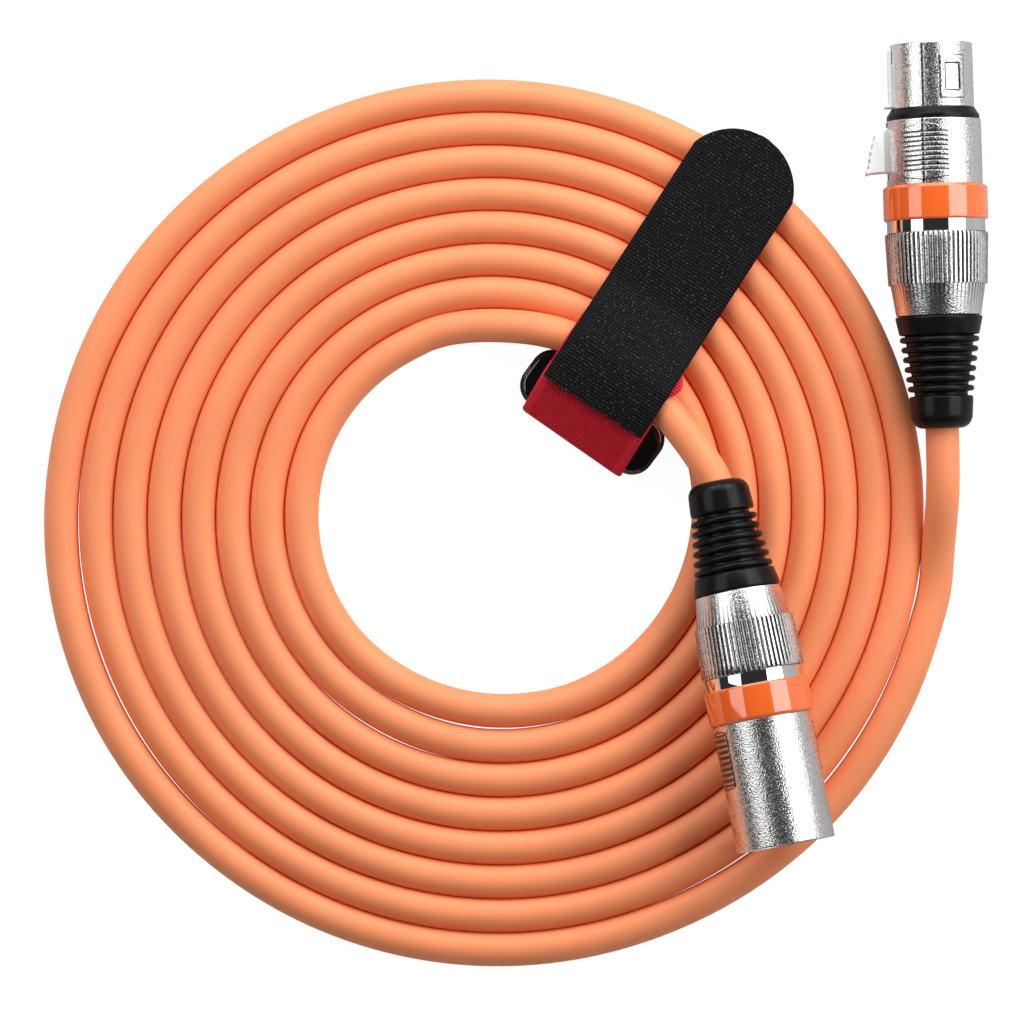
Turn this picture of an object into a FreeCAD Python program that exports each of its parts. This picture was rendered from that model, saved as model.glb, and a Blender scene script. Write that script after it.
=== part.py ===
import FreeCAD, Part

import math
import os

from FreeCAD import Placement, Rotation, Vector

# A microphone cable wound into a flat coil, lying on a table. Millimetres, +Z up.
# The origin is the coil's centre on the table. The female connector lies on the table at +X,
# the male connector lies on the coil and points to -Y.

# Cable and coil. The jacket is drawn slimmer than the real 6.4 mm, so that its turns stay apart.
CABLE_D = 5.9
FLAT_CUT = 0.5
CABLE_Z = CABLE_D / 2 - FLAT_CUT
COIL_RADIUS = 87.5
COIL_PITCH = 6.58
COIL_SQUASH = 0.99
COIL_DRIFT = 0.85
COIL_START = 14.5
COIL_END = 2762.0
COIL_QUARTERS = 31
COIL_FULL_ANGLE = 2790.0

# Where the connectors lie: the centre of each boot's mouth, and the way each one points.
FEMALE_MOUTH = Vector(87.1, 16.7, 10.1)
FEMALE_LEAN = 1.7
MALE_MOUTH = Vector(43.1, 7.4, 12.9)
MALE_TURN = 10.6
MALE_RISE = 4.9
MALE_ROLL = -21.0

# The lead's two tails, as hand-laid points from the boot to the coil.
TAIL_RUN = 7.2
OUTER_TAIL = [
    Vector(87.3, 2.4, 8.55),
    Vector(86.7, -7.2, 4.05),
]
INNER_TAIL = [
    Vector(-5.0, 36.8, 3.2),
    Vector(2.6, 36.8, 4.95),
    Vector(10.6, 35.9, 6.7),
    Vector(18.6, 33.5, 8.0),
    Vector(25.6, 30.2, 9.0),
    Vector(31.4, 26.2, 9.8),
    Vector(37.1, 20.8, 11.0),
    Vector(40.1, 16.8, 11.9),
]
MALE_EXIT_RUN = 5.0
INNER_START_RUN = 5.6
ARC_SHARE = 0.45

# Stations along a connector, from the boot's mouth forward.
CAP_END = 6.2
COLLAR_START = 18.7
BOOT_END = 22.0
CONE_END = 28.1
KNURL_END = 38.1
BAND_START = 38.2
BAND_END = 40.6
RING_END = 47.5
FEMALE_BODY_END = 60.2
NOSE_RING_END = 62.5
NOSE_START = 64.6
NOSE_END = 75.1
BARREL_END = 72.3

# Radii of the connector's pieces.
BOOT_BORE = 3.25
SHANK_R = 6.9
FLANGE_R = 8.3
CONE_R = (8.4, 9.3)
KNURL_R = (9.6, 10.05)
KNURL_DEPTH = 0.4
KNURL_RIDGES = 64
STUB_R = 8.35
NECK_R = 8.5
SLEEVE_BORE = 8.4
BAND_R = 9.5
RING_R = 10.1
BODY_R = 9.25
NOSE_R = 8.0
NOSE_RING_R = 8.95
NOSE_GROOVE_R = 7.6
BARREL_R = 9.55
BARREL_BORE = 8.2
BARREL_MOUTH_R = 8.75
BARREL_MOUTH_DEPTH = 4.2
STUB_START = 30.5
SHELL_BORE = 7.1
INSERT_R = 7.0
CONTACT_CIRCLE = 8.1
PIN_R = 1.2
PIN_SHANK_R = 1.0
PIN_STEP = 0.3
PIN_END = 66.5
DISC_END = 52.0
SOCKET_R = 1.9
SOCKET_BORE = 1.25
CLAMP_R = 6.8
CABLE_END_U = 38.0

# Where the grip patches and the nose's window sit, in degrees round from the top.
FEMALE_PATCH = -10.8
WINDOW_TURN = 33.0
MALE_PATCHES = (79, -79)

# The latch on the female connector's side, and its pivot.
LATCH_WIDTH = 4.0
TAB_WIDTH = 5.6
LATCH_SLOT = 4.4
LATCH_PIVOT = (7.2, 49.9)
LATCH_PIN_R = 0.6

# The strap, in its own upright plane across the bundle.
STRAP_ANGLE = 57.1
STRAP_SHIFT = 4.9
STRAP_WIDTH = 22.5
TAPE = 0.9
HOOK_TAPE = 1.0
UNDER_Z = 0.5
TOP_Z = 6.95
HOOK_Z = 7.95
CHANNEL_HEIGHT = 1.2
CHANNEL_SPARE = 0.4
HOOK_START = 28.0
HOOK_TIP = 90.7
TIP_R = 11.9
BUCKLE_SHIFT = 6.3
BUCKLE_WIDTH = 29.0
BUCKLE_SPAN = (21.3, 33.4)
BUCKLE_BARS = (2.2, 2.4)
BUCKLE_SIDES = (4.5, 1.7)
BUCKLE_Z = (1.1, 3.3)
BUCKLE_ROUND = 0.8
BUCKLE_EDGE = 0.5

UP = Vector(0, 0, 1)


def revolved(outline):
    """A solid of revolution about local Z from points (radius, station)."""
    points = [Vector(radius, 0, station) for radius, station in outline]
    face = Part.Face(Part.makePolygon(points + points[:1]))
    return face.revolve(Vector(), UP, 360)


def tube(outer, inner, start, end):
    """A plain ring about local Z."""
    return rod(outer, start, end).cut(rod(inner, start - 1, end + 1))


def rod(radius, start, end, centre=(0, 0)):
    """A cylinder along local Z."""
    return Part.makeCylinder(radius, end - start, Vector(centre[0], centre[1], start))


def block(low, high):
    """A box between two corners."""
    size = Vector(*high) - Vector(*low)
    return Part.makeBox(size.x, size.y, size.z, Vector(*low))


def tangent_arc(start, tangent, end):
    """The arc that leaves start along tangent and passes through end."""
    chord = end - start
    turn = tangent.getAngle(chord)
    across = tangent - chord * (tangent.dot(chord) / chord.dot(chord))
    middle = start + chord * 0.5 + across.normalize() * (chord.Length / 2 * math.tan(turn / 2))
    return Part.Arc(start, middle, end).toShape()


def biarc(start, start_way, end, end_way):
    """Two arcs that join start to end, along both unit directions."""
    gap = end - start
    ways = start_way + end_way
    spread = 2 * (1 - start_way.dot(end_way))
    along = gap.dot(ways)
    reach = (math.sqrt(along * along + spread * gap.dot(gap)) - along) / spread
    middle = (start + end + (start_way - end_way) * reach) * 0.5
    middle_way = (end - end_way * reach - middle).normalize()
    return [tangent_arc(start, start_way, middle), tangent_arc(middle, middle_way, end)]


def coil_point(clock):
    """The cable's centre after clock degrees, clockwise from +X as seen from above."""
    turn = math.radians(clock)
    radius = COIL_RADIUS - COIL_PITCH * clock / 360
    shift = COIL_DRIFT * clock / COIL_FULL_ANGLE
    x = shift + radius * math.cos(turn)
    y = shift - COIL_SQUASH * radius * math.sin(turn)
    return Vector(x, y, CABLE_Z)


def coil_way(clock):
    """The cable's direction there."""
    step = 0.01
    return (coil_point(clock + step) - coil_point(clock - step)).normalize()


def coil_path():
    """The spiral as a biarc for each quarter turn."""
    step = (COIL_END - COIL_START) / COIL_QUARTERS
    edges = []
    for quarter in range(COIL_QUARTERS):
        start = COIL_START + step * quarter
        end = start + step
        edges += biarc(coil_point(start), coil_way(start), coil_point(end), coil_way(end))
    return edges


def swept(edges, way, profile=None):
    """A pipe shell along joined edges: round cable, or the profile given."""
    start = edges[0].Vertexes[0].Point
    if profile is None:
        circle = Part.Circle(start, way, CABLE_D / 2).toShape()
        profile = Part.Wire([circle])
    return Part.Wire(edges).makePipeShell([profile], True, False)


def rounded_route(points, radii=None):
    """Straight runs through points, joined by tangent arcs, and the arcs' radii."""
    edges = []
    used = []
    start = points[0]
    for place in range(1, len(points) - 1):
        corner = points[place]
        run_in = corner - points[place - 1]
        run_out = points[place + 1] - corner
        half_turn = run_in.getAngle(run_out) / 2
        if radii:
            radius = radii[place - 1]
            reach = radius * math.tan(half_turn)
        else:
            reach = ARC_SHARE * min(run_in.Length, run_out.Length)
            radius = reach / math.tan(half_turn)
        way_in = Vector(run_in).normalize()
        way_out = Vector(run_out).normalize()
        inward = (way_out - way_in).normalize()
        middle = corner + inward * (radius / math.cos(half_turn) - radius)
        leave = corner - way_in * reach
        join = corner + way_out * reach
        edges.append(Part.LineSegment(start, leave).toShape())
        edges.append(Part.Arc(leave, middle, join).toShape())
        used.append(radius)
        start = join
    edges.append(Part.LineSegment(start, points[-1]).toShape())
    return edges, used


def connector_axes(turn, rise):
    """Forward, up and side unit vectors of a connector turned from +Y and raised."""
    turn = math.radians(turn)
    rise = math.radians(rise)
    level = Vector(math.sin(turn), math.cos(turn), 0)
    forward = level * math.cos(rise) + UP * math.sin(rise)
    side = UP.cross(forward).normalize()
    return side, forward.cross(side), forward


def placed(shape, mouth, axes):
    """Move a shape from connector space into place."""
    side, up, forward = axes
    shape = shape.copy()
    shape.Placement = Placement(mouth, Rotation(side, up, forward, "ZYX")) * shape.Placement
    return shape


def contact_spots(roll=0):
    """The three contacts' centres, clear of the latch at local +X, turned by the connector's roll."""
    radius = CONTACT_CIRCLE / 2
    angles = [math.radians(degrees + roll) for degrees in (60, 180, 300)]
    return [(radius * math.cos(a), radius * math.sin(a)) for a in angles]


def rubber_boot():
    """Strain relief: rounded end, six ribs, collar, and a flange held in the sleeve."""
    outline = [(BOOT_BORE, 0), (3.8, 0), (4.9, 0.5), (5.75, 1.35), (6.15, 2.5), (6.2, 4.8)]
    outline.append((5.9, CAP_END))
    ribs = 6
    pitch = (COLLAR_START - CAP_END - 0.6) / ribs
    for rib in range(ribs):
        start = CAP_END + 0.3 + pitch * rib
        core = 5.25 + 1.4 * rib / (ribs - 1)
        crest = 6.45 + 1.25 * rib / (ribs - 1)
        outline += [(core, start), (core, start + 0.55), (crest, start + 0.85)]
        outline += [(crest, start + pitch - 0.3), (core, start + pitch)]
    outline += [(7.9, COLLAR_START), (8.4, BOOT_END - 0.1), (SHANK_R, BOOT_END - 0.1)]
    outline += [(SHANK_R, 24.1), (FLANGE_R, 24.1), (FLANGE_R, 26.6), (7.3, 27.2), (7.3, 29.0)]
    outline += [(5.9, 29.0), (BOOT_BORE, 25.0)]
    return revolved(outline)


def ridged_wire(radius, station):
    """A closed outline of straight ridges."""
    points = []
    for tooth in range(2 * KNURL_RIDGES):
        angle = math.pi * tooth / KNURL_RIDGES
        reach = radius - (KNURL_DEPTH if tooth % 2 else 0)
        points.append(Vector(reach * math.cos(angle), reach * math.sin(angle), station))
    return Part.makePolygon(points + points[:1])


def rear_sleeve():
    """Coned and knurled nut whose bore runs on the shell's stub and holds the boot."""
    cone = revolved([(0, BOOT_END), (CONE_R[0], BOOT_END), (CONE_R[1], CONE_END), (0, CONE_END)])
    wires = [ridged_wire(KNURL_R[0], CONE_END), ridged_wire(KNURL_R[1], KNURL_END)]
    knurl = Part.makeLoft(wires, True, True)
    hole = rod(SHANK_R + 0.1, BOOT_END - 1, 24.5)
    bore = rod(SLEEVE_BORE, 24.0, KNURL_END + 1)
    return cone.fuse(knurl).cut(hole.fuse(bore)).removeSplitter()


def cable_clamp():
    """Split collet that the sleeve tightens on the jacket."""
    outline = [(3.05, 29.6), (4.6, 29.6), (CLAMP_R, 33.5), (CLAMP_R, 40.0), (3.05, 40.0)]
    collet = revolved(outline)
    slit = block((0, -0.4, 29), (CLAMP_R + 1, 0.4, 36.5))
    return collet.cut(slit)


def cable_end():
    """The jacket inside the boot and the clamp."""
    return rod(CABLE_D / 2, 0, CABLE_END_U)


def conductors(cup_start, roll=0):
    """Two cores and the shield drain, from the jacket to the three solder cups."""
    wires = []
    for x, y in contact_spots(roll):
        inner = Vector(x * 0.32, y * 0.32, CABLE_END_U)
        outer = Vector(x, y, cup_start)
        rise = UP * 2.5
        points = [inner, inner + rise, outer - rise, outer]
        edges, _ = rounded_route(points, [1.6, 1.6])
        circle = Part.Circle(inner, UP, 0.55).toShape()
        wires.append(Part.Wire(edges).makePipeShell([Part.Wire([circle])], True, False))
    return Part.makeCompound(wires)


def chrome_band():
    """Mirror-bright ring in front of the knurl."""
    inner = NECK_R + 0.05
    outline = [(inner, BAND_START), (BAND_R - 0.15, BAND_START), (BAND_R, BAND_START + 0.15)]
    outline += [(BAND_R, BAND_END), (inner, BAND_END)]
    return revolved(outline)


def colour_ring():
    """Glossy marker ring with rounded edges."""
    ring = tube(RING_R, NECK_R + 0.05, BAND_END, RING_END - 0.05)
    rims = [e for e in ring.Edges if e.Closed and e.Curve.Radius > RING_R - 0.1]
    return ring.makeFillet(0.5, rims)


def shell_rear():
    """The stub that the sleeve runs on, and the neck under the two rings."""
    return rod(STUB_R, STUB_START, BAND_START).fuse(rod(NECK_R, BAND_START, RING_END))


def grip_ridges(count, start, pitch, half_width, radius):
    """A slightly raised pad with cross ridges on local +Y, cut to the curve of the shell."""
    end = start + pitch * (count - 0.45)
    pad = block((-half_width, 0, start - 0.3), (half_width, radius + 1, end + 0.3))
    pad = pad.common(tube(radius + 0.1, radius - 0.5, start - 1, end + 1))
    ridges = []
    for ridge in range(count):
        low = start + pitch * ridge
        ridges.append(block((-half_width, 0, low), (half_width, radius + 1, low + pitch * 0.55)))
    band = tube(radius + 0.24, radius - 0.5, start - 1, end + 1)
    return pad.fuse(Part.makeCompound(ridges).common(band))


def female_shell():
    """Die-cast housing: body, ring groove and nose, with a slot for the latch."""
    body = revolved(
        [(0, RING_END), (BODY_R, RING_END), (BODY_R, FEMALE_BODY_END - 0.3)]
        + [(BODY_R - 0.3, FEMALE_BODY_END), (NOSE_GROOVE_R, FEMALE_BODY_END)]
        + [(NOSE_GROOVE_R, NOSE_START), (NOSE_R, NOSE_START), (NOSE_R, NOSE_END - 0.3)]
        + [(NOSE_R - 0.3, NOSE_END), (0, NOSE_END)]
    )
    shell = shell_rear().fuse(body)
    patch = grip_ridges(9, 49.2, 1.05, 4.4, BODY_R)
    patch.rotate(Vector(), UP, FEMALE_PATCH)
    shell = shell.fuse(patch)
    shell = shell.cut(rod(SHELL_BORE, STUB_START - 1, NOSE_END + 1))
    slot = block((2, -LATCH_SLOT / 2, 48.6), (12, LATCH_SLOT / 2, 71.0))
    keyway = block((-1.1, -12, NOSE_END - 8), (1.1, 0, NOSE_END + 1))
    pin_hole = rod(LATCH_PIN_R + 0.01, -3.85, 3.85)
    pin_hole = turned_across(pin_hole, LATCH_PIVOT)
    window = block((-1.55, NOSE_R - 0.4, 65.8), (1.55, NOSE_R + 1, 71.3))
    window.rotate(Vector(), UP, WINDOW_TURN)
    return shell.cut([slot, keyway, pin_hole, window])


def turned_across(shape, spot):
    """Lay a shape made along Z across the connector, along local Y, at (x, station)."""
    shape.rotate(Vector(), Vector(1, 0, 0), 90)
    shape.translate(Vector(spot[0], 0, spot[1]))
    return shape


def nose_ring():
    """Rubber ring in the groove between body and nose."""
    inner = NOSE_GROOVE_R + 0.02
    start = FEMALE_BODY_END + 0.02
    end = NOSE_RING_END
    outline = [(inner, start), (NOSE_RING_R, start), (NOSE_RING_R - 0.1, start + 0.9)]
    outline += [(NOSE_RING_R - 0.6, end), (inner, end)]
    return revolved(outline)


def female_insert():
    """Insulator with three socket holes and a groove that the latch dips into."""
    insert = rod(INSERT_R, 51.0, 74.3)
    groove = block((4.0, -2.3, 50), (INSERT_R + 1, 2.3, 75))
    holes = [rod(SOCKET_R + 0.02, 50, 75, spot) for spot in contact_spots()]
    return insert.cut([groove] + holes)


def female_sockets():
    """Three contact tubes with solder cups."""
    sockets = []
    for spot in contact_spots():
        barrel = rod(SOCKET_R, 50.6, 74.2, spot).fuse(rod(1.3, 46.0, 50.6, spot))
        bore = rod(SOCKET_BORE, 58.0, 75.0, spot)
        cup = rod(0.8, 45.0, 48.5, spot)
        sockets.append(barrel.cut([bore, cup]))
    return Part.makeCompound(sockets)


def latch_plate(outline, width):
    """A flat plate from (x, station) points, centred across local Y."""
    points = [Vector(x, -width / 2, station) for x, station in outline]
    face = Part.Face(Part.makePolygon(points + points[:1]))
    return face.extrude(Vector(0, width, 0))


def female_latch():
    """Lever: thumb tab at the back, hook at the foot of the nose, bored for its pivot pin."""
    bar = latch_plate(
        [(6.2, 48.9), (8.1, 48.9), (8.6, 50.0), (9.9, 50.2), (9.9, 58.4), (8.9, 59.0)]
        + [(7.3, 59.6), (7.3, 62.75), (9.3, 62.75), (9.2, 63.3), (7.6, 64.5), (7.4, 70.2)]
        + [(6.5, 70.2), (6.2, 62.0)],
        LATCH_WIDTH,
    )
    tab = latch_plate(
        [(9.9, 50.2), (12.9, 49.9), (13.3, 50.6), (12.7, 52.4), (12.5, 53.9), (12.0, 55.6)]
        + [(11.5, 57.4), (10.9, 58.2), (9.9, 58.4)],
        TAB_WIDTH,
    )
    hole = turned_across(rod(LATCH_PIN_R + 0.05, -3, 3), LATCH_PIVOT)
    return bar.fuse(tab).cut(hole).removeSplitter()


def latch_pin():
    """Pivot pin across the slot."""
    return turned_across(rod(LATCH_PIN_R, -3.8, 3.8), LATCH_PIVOT)


def latch_spring():
    """Leaf spring in the insert's groove that pushes the lever out."""
    points = [Vector(4.15, 0, 52.5), Vector(4.15, 0, 56.5), Vector(5.95, 0, 60.5), Vector(5.95, 0, 62)]
    edges, _ = rounded_route(points, [1.5, 1.5])
    profile = Part.makePolygon(
        [Vector(4.05, -1.5, 52.5), Vector(4.25, -1.5, 52.5), Vector(4.25, 1.5, 52.5)]
        + [Vector(4.05, 1.5, 52.5), Vector(4.05, -1.5, 52.5)]
    )
    return swept(edges, UP, profile)


def male_shell():
    """Die-cast barrel with a deep socket, a key groove and a catch for the latch."""
    barrel = revolved(
        [(0, RING_END), (BARREL_R, RING_END), (BARREL_R, BARREL_END - 0.3)]
        + [(BARREL_R - 0.3, BARREL_END), (0, BARREL_END)]
    )
    shell = shell_rear().fuse(barrel)
    for side in MALE_PATCHES:
        patch = grip_ridges(9, 49.3, 1.15, 3.4, BARREL_R)
        patch.rotate(Vector(), UP, MALE_ROLL + side)
        shell = shell.fuse(patch)
    bore = rod(SHELL_BORE, STUB_START - 1, 52.5)
    socket = rod(BARREL_BORE, 52.0, BARREL_END)
    mouth = rod(BARREL_MOUTH_R, BARREL_END - BARREL_MOUTH_DEPTH, BARREL_END + 1)
    catch = block((7.0, -2.4, BARREL_END - 13.0), (8.9, 2.4, BARREL_END - 10.5))
    catch.rotate(Vector(), UP, MALE_ROLL)
    return shell.cut([bore, socket, mouth, catch])


def male_insert():
    """Insulating disc at the bottom of the socket that holds the three pins."""
    disc = rod(INSERT_R, 47.0, DISC_END)
    holes = [rod(PIN_SHANK_R + 0.02, 46, 53, spot) for spot in contact_spots(MALE_ROLL)]
    return disc.cut(holes)


def male_pins():
    """Three contact pins with rounded tips and solder cups."""
    pins = []
    for spot in contact_spots(MALE_ROLL):
        pin = rod(PIN_R, DISC_END + PIN_STEP, PIN_END, spot)
        tips = [e for e in pin.Edges if e.Closed and e.CenterOfMass.z > PIN_END - 1]
        pin = pin.makeFillet(0.7, tips).fuse(rod(PIN_SHANK_R, 43.5, DISC_END + PIN_STEP, spot))
        pins.append(pin.cut(rod(0.6, 42.5, 46.0, spot)))
    return Part.makeCompound(pins)


def in_strap_frame(shape):
    """Turn a shape built along +X, with its right side at -Y, to the strap's place."""
    shape.rotate(Vector(), UP, STRAP_ANGLE)
    return shape


def tape(route, radii, thickness):
    """A flat tape whose centre follows (reach, height) points in the strap's plane."""
    points = [Vector(reach, -STRAP_SHIFT, height) for reach, height in route]
    edges, _ = rounded_route(points, radii)
    way = (points[1] - points[0]).normalize()
    across = Vector(0, STRAP_WIDTH / 2, 0)
    lift = across.cross(way).normalize() * (thickness / 2)
    corners = [across + lift, across - lift, lift * -1 - across, lift - across]
    corners = [points[0] + corner for corner in corners]
    return swept(edges, way, Part.makePolygon(corners + corners[:1]))


def strap_loop_tape():
    """Red tape: sewn round the buckle, under the bundle, back over it and round the inner bar."""
    route = [
        (36.5, 1.55), (34.7, 1.55), (34.2, 4.0), (30.4, 4.0), (29.9, UNDER_Z),
        (85.9, UNDER_Z), (85.9, TOP_Z), (50.5, TOP_Z), (43.6, 12.9), (38.2, 14.5), (33.4, 12.9),
        (28.2, UNDER_Z), (20.35, UNDER_Z), (20.35, 5.4), (26.6, 11.9), (31.2, 14.4),
    ]
    radii = [0.6, 0.6, 0.9, 0.9, 2.2, 2.2, 6.0, 5.0, 3.5, 4.0, 1.2, 1.2, 2.0, 3.0]
    return in_strap_frame(tape(route, radii, TAPE))


def hook_tape_route():
    """The black tape's centre line, over the red one."""
    return [(HOOK_START, 14.1), (33.2, 16.9), (38.2, 17.1), (44.4, 14.7), (51.3, HOOK_Z), (HOOK_TIP, HOOK_Z)]


def strap_hook_tape():
    """Black tape that grips the red one, with its rounded free end."""
    strip = tape(hook_tape_route(), [6.0, 5.0, 6.0, 6.0], HOOK_TAPE)
    half = STRAP_WIDTH / 2
    tip_start = HOOK_TIP - TIP_R + math.sqrt(TIP_R ** 2 - half ** 2)
    corner = block((tip_start, -STRAP_SHIFT - half - 1, 0), (HOOK_TIP + 1, half - STRAP_SHIFT + 1, 20))
    corner = corner.cut(rod(TIP_R, -1, 21, (HOOK_TIP - TIP_R, -STRAP_SHIFT)))
    return in_strap_frame(strip.cut(corner))


def strap_buckle():
    """Rectangular ring with rounded corners and a broad right side."""
    low, high = BUCKLE_SPAN
    middle = -BUCKLE_SHIFT
    half = BUCKLE_WIDTH / 2
    outer = block((low, middle - half, BUCKLE_Z[0]), (high, middle + half, BUCKLE_Z[1]))
    corners = [e for e in outer.Edges if abs(e.tangentAt(0).z) > 0.9]
    outer = outer.makeFillet(4.0, corners)
    window = block(
        (low + BUCKLE_BARS[0], middle - half + BUCKLE_SIDES[0], 0),
        (high - BUCKLE_BARS[1], middle + half - BUCKLE_SIDES[1], 10),
    )
    corners = [e for e in window.Edges if abs(e.tangentAt(0).z) > 0.9]
    ring = outer.cut(window.makeFillet(BUCKLE_ROUND, corners))
    rims = [e for e in ring.Edges if abs(e.tangentAt(0).z) < 0.1]
    return in_strap_frame(ring.makeFillet(BUCKLE_EDGE, rims))


def strap_stitches():
    """The thread of the seam at the sewn end on the buckle's bar."""
    count = 10
    pitch = (STRAP_WIDTH - 3) / count
    stitches = []
    for stitch in range(count):
        start = -STRAP_SHIFT - STRAP_WIDTH / 2 + 1.8 + pitch * stitch
        stitches.append(block((35.4, start, 2.02), (35.8, start + pitch * 0.6, 2.3)))
    return in_strap_frame(Part.makeCompound(stitches))


def cable_coil():
    """Eight turns in one tube, flat below, with a shallow channel where the strap passes under."""
    coil = swept(coil_path(), coil_way(COIL_START))
    below = block((-120, -120, -20), (120, 120, 0))
    half = STRAP_WIDTH / 2 + CHANNEL_SPARE
    channel = block((34, -STRAP_SHIFT - half, -1), (100, half - STRAP_SHIFT, CHANNEL_HEIGHT))
    return coil.cut([below, in_strap_frame(channel)])


def outer_tail_points(mouth, forward):
    """From the female boot's mouth down to the start of the coil."""
    end = coil_point(COIL_START)
    last = end - coil_way(COIL_START) * TAIL_RUN
    return [mouth, mouth - forward * TAIL_RUN] + OUTER_TAIL + [last, end]


def inner_tail_points(mouth, forward):
    """From the end of the coil up to the male boot's mouth."""
    start = coil_point(COIL_END)
    first = start + coil_way(COIL_END) * INNER_START_RUN
    return [start, first] + INNER_TAIL + [mouth - forward * MALE_EXIT_RUN, mouth]


def tail(name, points):
    """A free stretch of cable, with its measures printed."""
    edges, radii = rounded_route(points)
    shape = swept(edges, points[1] - points[0])
    length = sum(edge.Length for edge in edges)
    ratio = shape.Volume / (math.pi * CABLE_D ** 2 / 4 * length)
    print(name, "length", round(length, 1), "volume ratio", round(ratio, 4))
    print(name, "radii", [round(radius, 1) for radius in radii])
    return shape


def sampled(edges, step):
    """Points along edges, about a step apart."""
    points = []
    for edge in edges:
        count = max(2, int(edge.Length / step))
        points += edge.discretize(count)[:-1]
    return points


def least_gap(points, step):
    """The least distance between the cable's surface and itself, half a turn or more apart."""
    apart = int(100 / step)
    least = math.inf
    for index, point in enumerate(points):
        for other in points[index + apart:]:
            if abs(point.x - other.x) < 8 and abs(point.y - other.y) < 8:
                least = min(least, (point - other).Length)
    return least - CABLE_D


def rear_set(prefix, cup_start, roll=0):
    """The pieces that both connectors share."""
    return {
        prefix + "_boot": rubber_boot(),
        prefix + "_rear_sleeve": rear_sleeve(),
        prefix + "_cable_clamp": cable_clamp(),
        prefix + "_cable_end": cable_end(),
        prefix + "_chrome_band": chrome_band(),
        prefix + "_colour_ring": colour_ring(),
        prefix + "_conductors": conductors(cup_start, roll),
    }


def female_connector():
    """All pieces of the female connector, in connector space."""
    pieces = rear_set("female", 47.0)
    pieces["female_shell"] = female_shell()
    pieces["female_nose_ring"] = nose_ring()
    pieces["female_insert"] = female_insert()
    pieces["female_sockets"] = female_sockets()
    pieces["female_latch"] = female_latch()
    pieces["female_latch_pin"] = latch_pin()
    pieces["female_latch_spring"] = latch_spring()
    return pieces


def male_connector():
    """All pieces of the male connector, in connector space."""
    pieces = rear_set("male", 44.5, MALE_ROLL)
    pieces["male_shell"] = male_shell()
    pieces["male_insert"] = male_insert()
    pieces["male_pins"] = male_pins()
    return pieces


def main():
    os.makedirs("parts", exist_ok=True)
    female_axes = connector_axes(-FEMALE_LEAN, 0)
    male_axes = connector_axes(180 - MALE_TURN, MALE_RISE)
    nodes = {}
    for name, shape in female_connector().items():
        nodes[name] = placed(shape, FEMALE_MOUTH, female_axes)
    for name, shape in male_connector().items():
        nodes[name] = placed(shape, MALE_MOUTH, male_axes)
    outer = outer_tail_points(FEMALE_MOUTH, female_axes[2])
    inner = inner_tail_points(MALE_MOUTH, male_axes[2])
    nodes["cable_coil"] = cable_coil()
    nodes["cable_tail_outer"] = tail("outer tail", outer)
    nodes["cable_tail_inner"] = tail("inner tail", inner)
    nodes["strap_loop_tape"] = strap_loop_tape()
    nodes["strap_hook_tape"] = strap_hook_tape()
    nodes["strap_buckle"] = strap_buckle()
    nodes["strap_stitches"] = strap_stitches()
    for name, shape in nodes.items():
        shape.exportStep(os.path.join("parts", name + ".step"))
        print(name, len(shape.Solids), "solids", round(shape.Volume, 1), "mm3", shape.isValid())
    step = 2.0
    lead = sampled(rounded_route(outer)[0] + coil_path() + rounded_route(inner)[0], step)
    print("cable length", round(sum((b - a).Length for a, b in zip(lead, lead[1:])), 1))
    print("least gap of the cable to itself", round(least_gap(lead, step), 2))


main()
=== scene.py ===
"""The looks of a microphone lead wound in a flat coil, with its two connectors and its strap.

Sizes are in millimetres and become metres when a mesh is made. The row frame has +Z up, the
coil's centre at the origin, and the female connector at +X.
"""

import logging
import math
from dataclasses import dataclass
from enum import Enum
from typing import Callable, Optional, Sequence, Union

import bmesh
import bpy
import numpy as np
from mathutils import Matrix, Vector


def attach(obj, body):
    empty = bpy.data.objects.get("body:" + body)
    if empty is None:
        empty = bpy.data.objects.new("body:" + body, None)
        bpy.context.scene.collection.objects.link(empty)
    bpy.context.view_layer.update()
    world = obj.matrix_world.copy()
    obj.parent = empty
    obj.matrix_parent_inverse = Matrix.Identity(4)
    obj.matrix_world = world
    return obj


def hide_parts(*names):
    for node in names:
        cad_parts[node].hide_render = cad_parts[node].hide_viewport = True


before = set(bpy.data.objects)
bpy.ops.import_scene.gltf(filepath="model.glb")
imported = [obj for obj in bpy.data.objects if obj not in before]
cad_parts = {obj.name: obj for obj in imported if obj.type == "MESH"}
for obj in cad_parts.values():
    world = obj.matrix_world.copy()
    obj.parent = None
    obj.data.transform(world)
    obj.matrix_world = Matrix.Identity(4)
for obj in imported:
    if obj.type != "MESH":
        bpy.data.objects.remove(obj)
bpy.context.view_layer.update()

MM = 0.001
LOG = logging.getLogger("lead")
SHARP_ANGLE = 38.0
BEVEL_SHARP_ANGLE = 50.0
TAPE_SHARP_ANGLE = 60.0
RELIEF_RADIUS = 7.8
PAINTED_SHADE_STEP = 0.09
SMOOTH_AROUND = 256
RELIEF_AROUND = 480

Thing = bpy.types.Object
Outline = Sequence[tuple[float, ...]]
Relief = Callable[[np.ndarray, np.ndarray], np.ndarray]
Colour = tuple[float, float, float]


# Shader nodes


def math_node(operation: str, swapped: bool = False) -> Callable[..., "Signal"]:
    """A method of Signal that adds one Math node.

    Args:
        operation: The Math node's operation.
        swapped: Whether the other value comes first.

    Returns:
        The method.
    """

    def method(signal: "Signal", *others: "Value") -> "Signal":
        """Add the node and return its result."""
        values = (*others, signal) if swapped else (signal, *others)
        sockets = dict(enumerate(values))
        return signal.graph.read("ShaderNodeMath", 0, {"operation": operation}, sockets)

    return method


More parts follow.
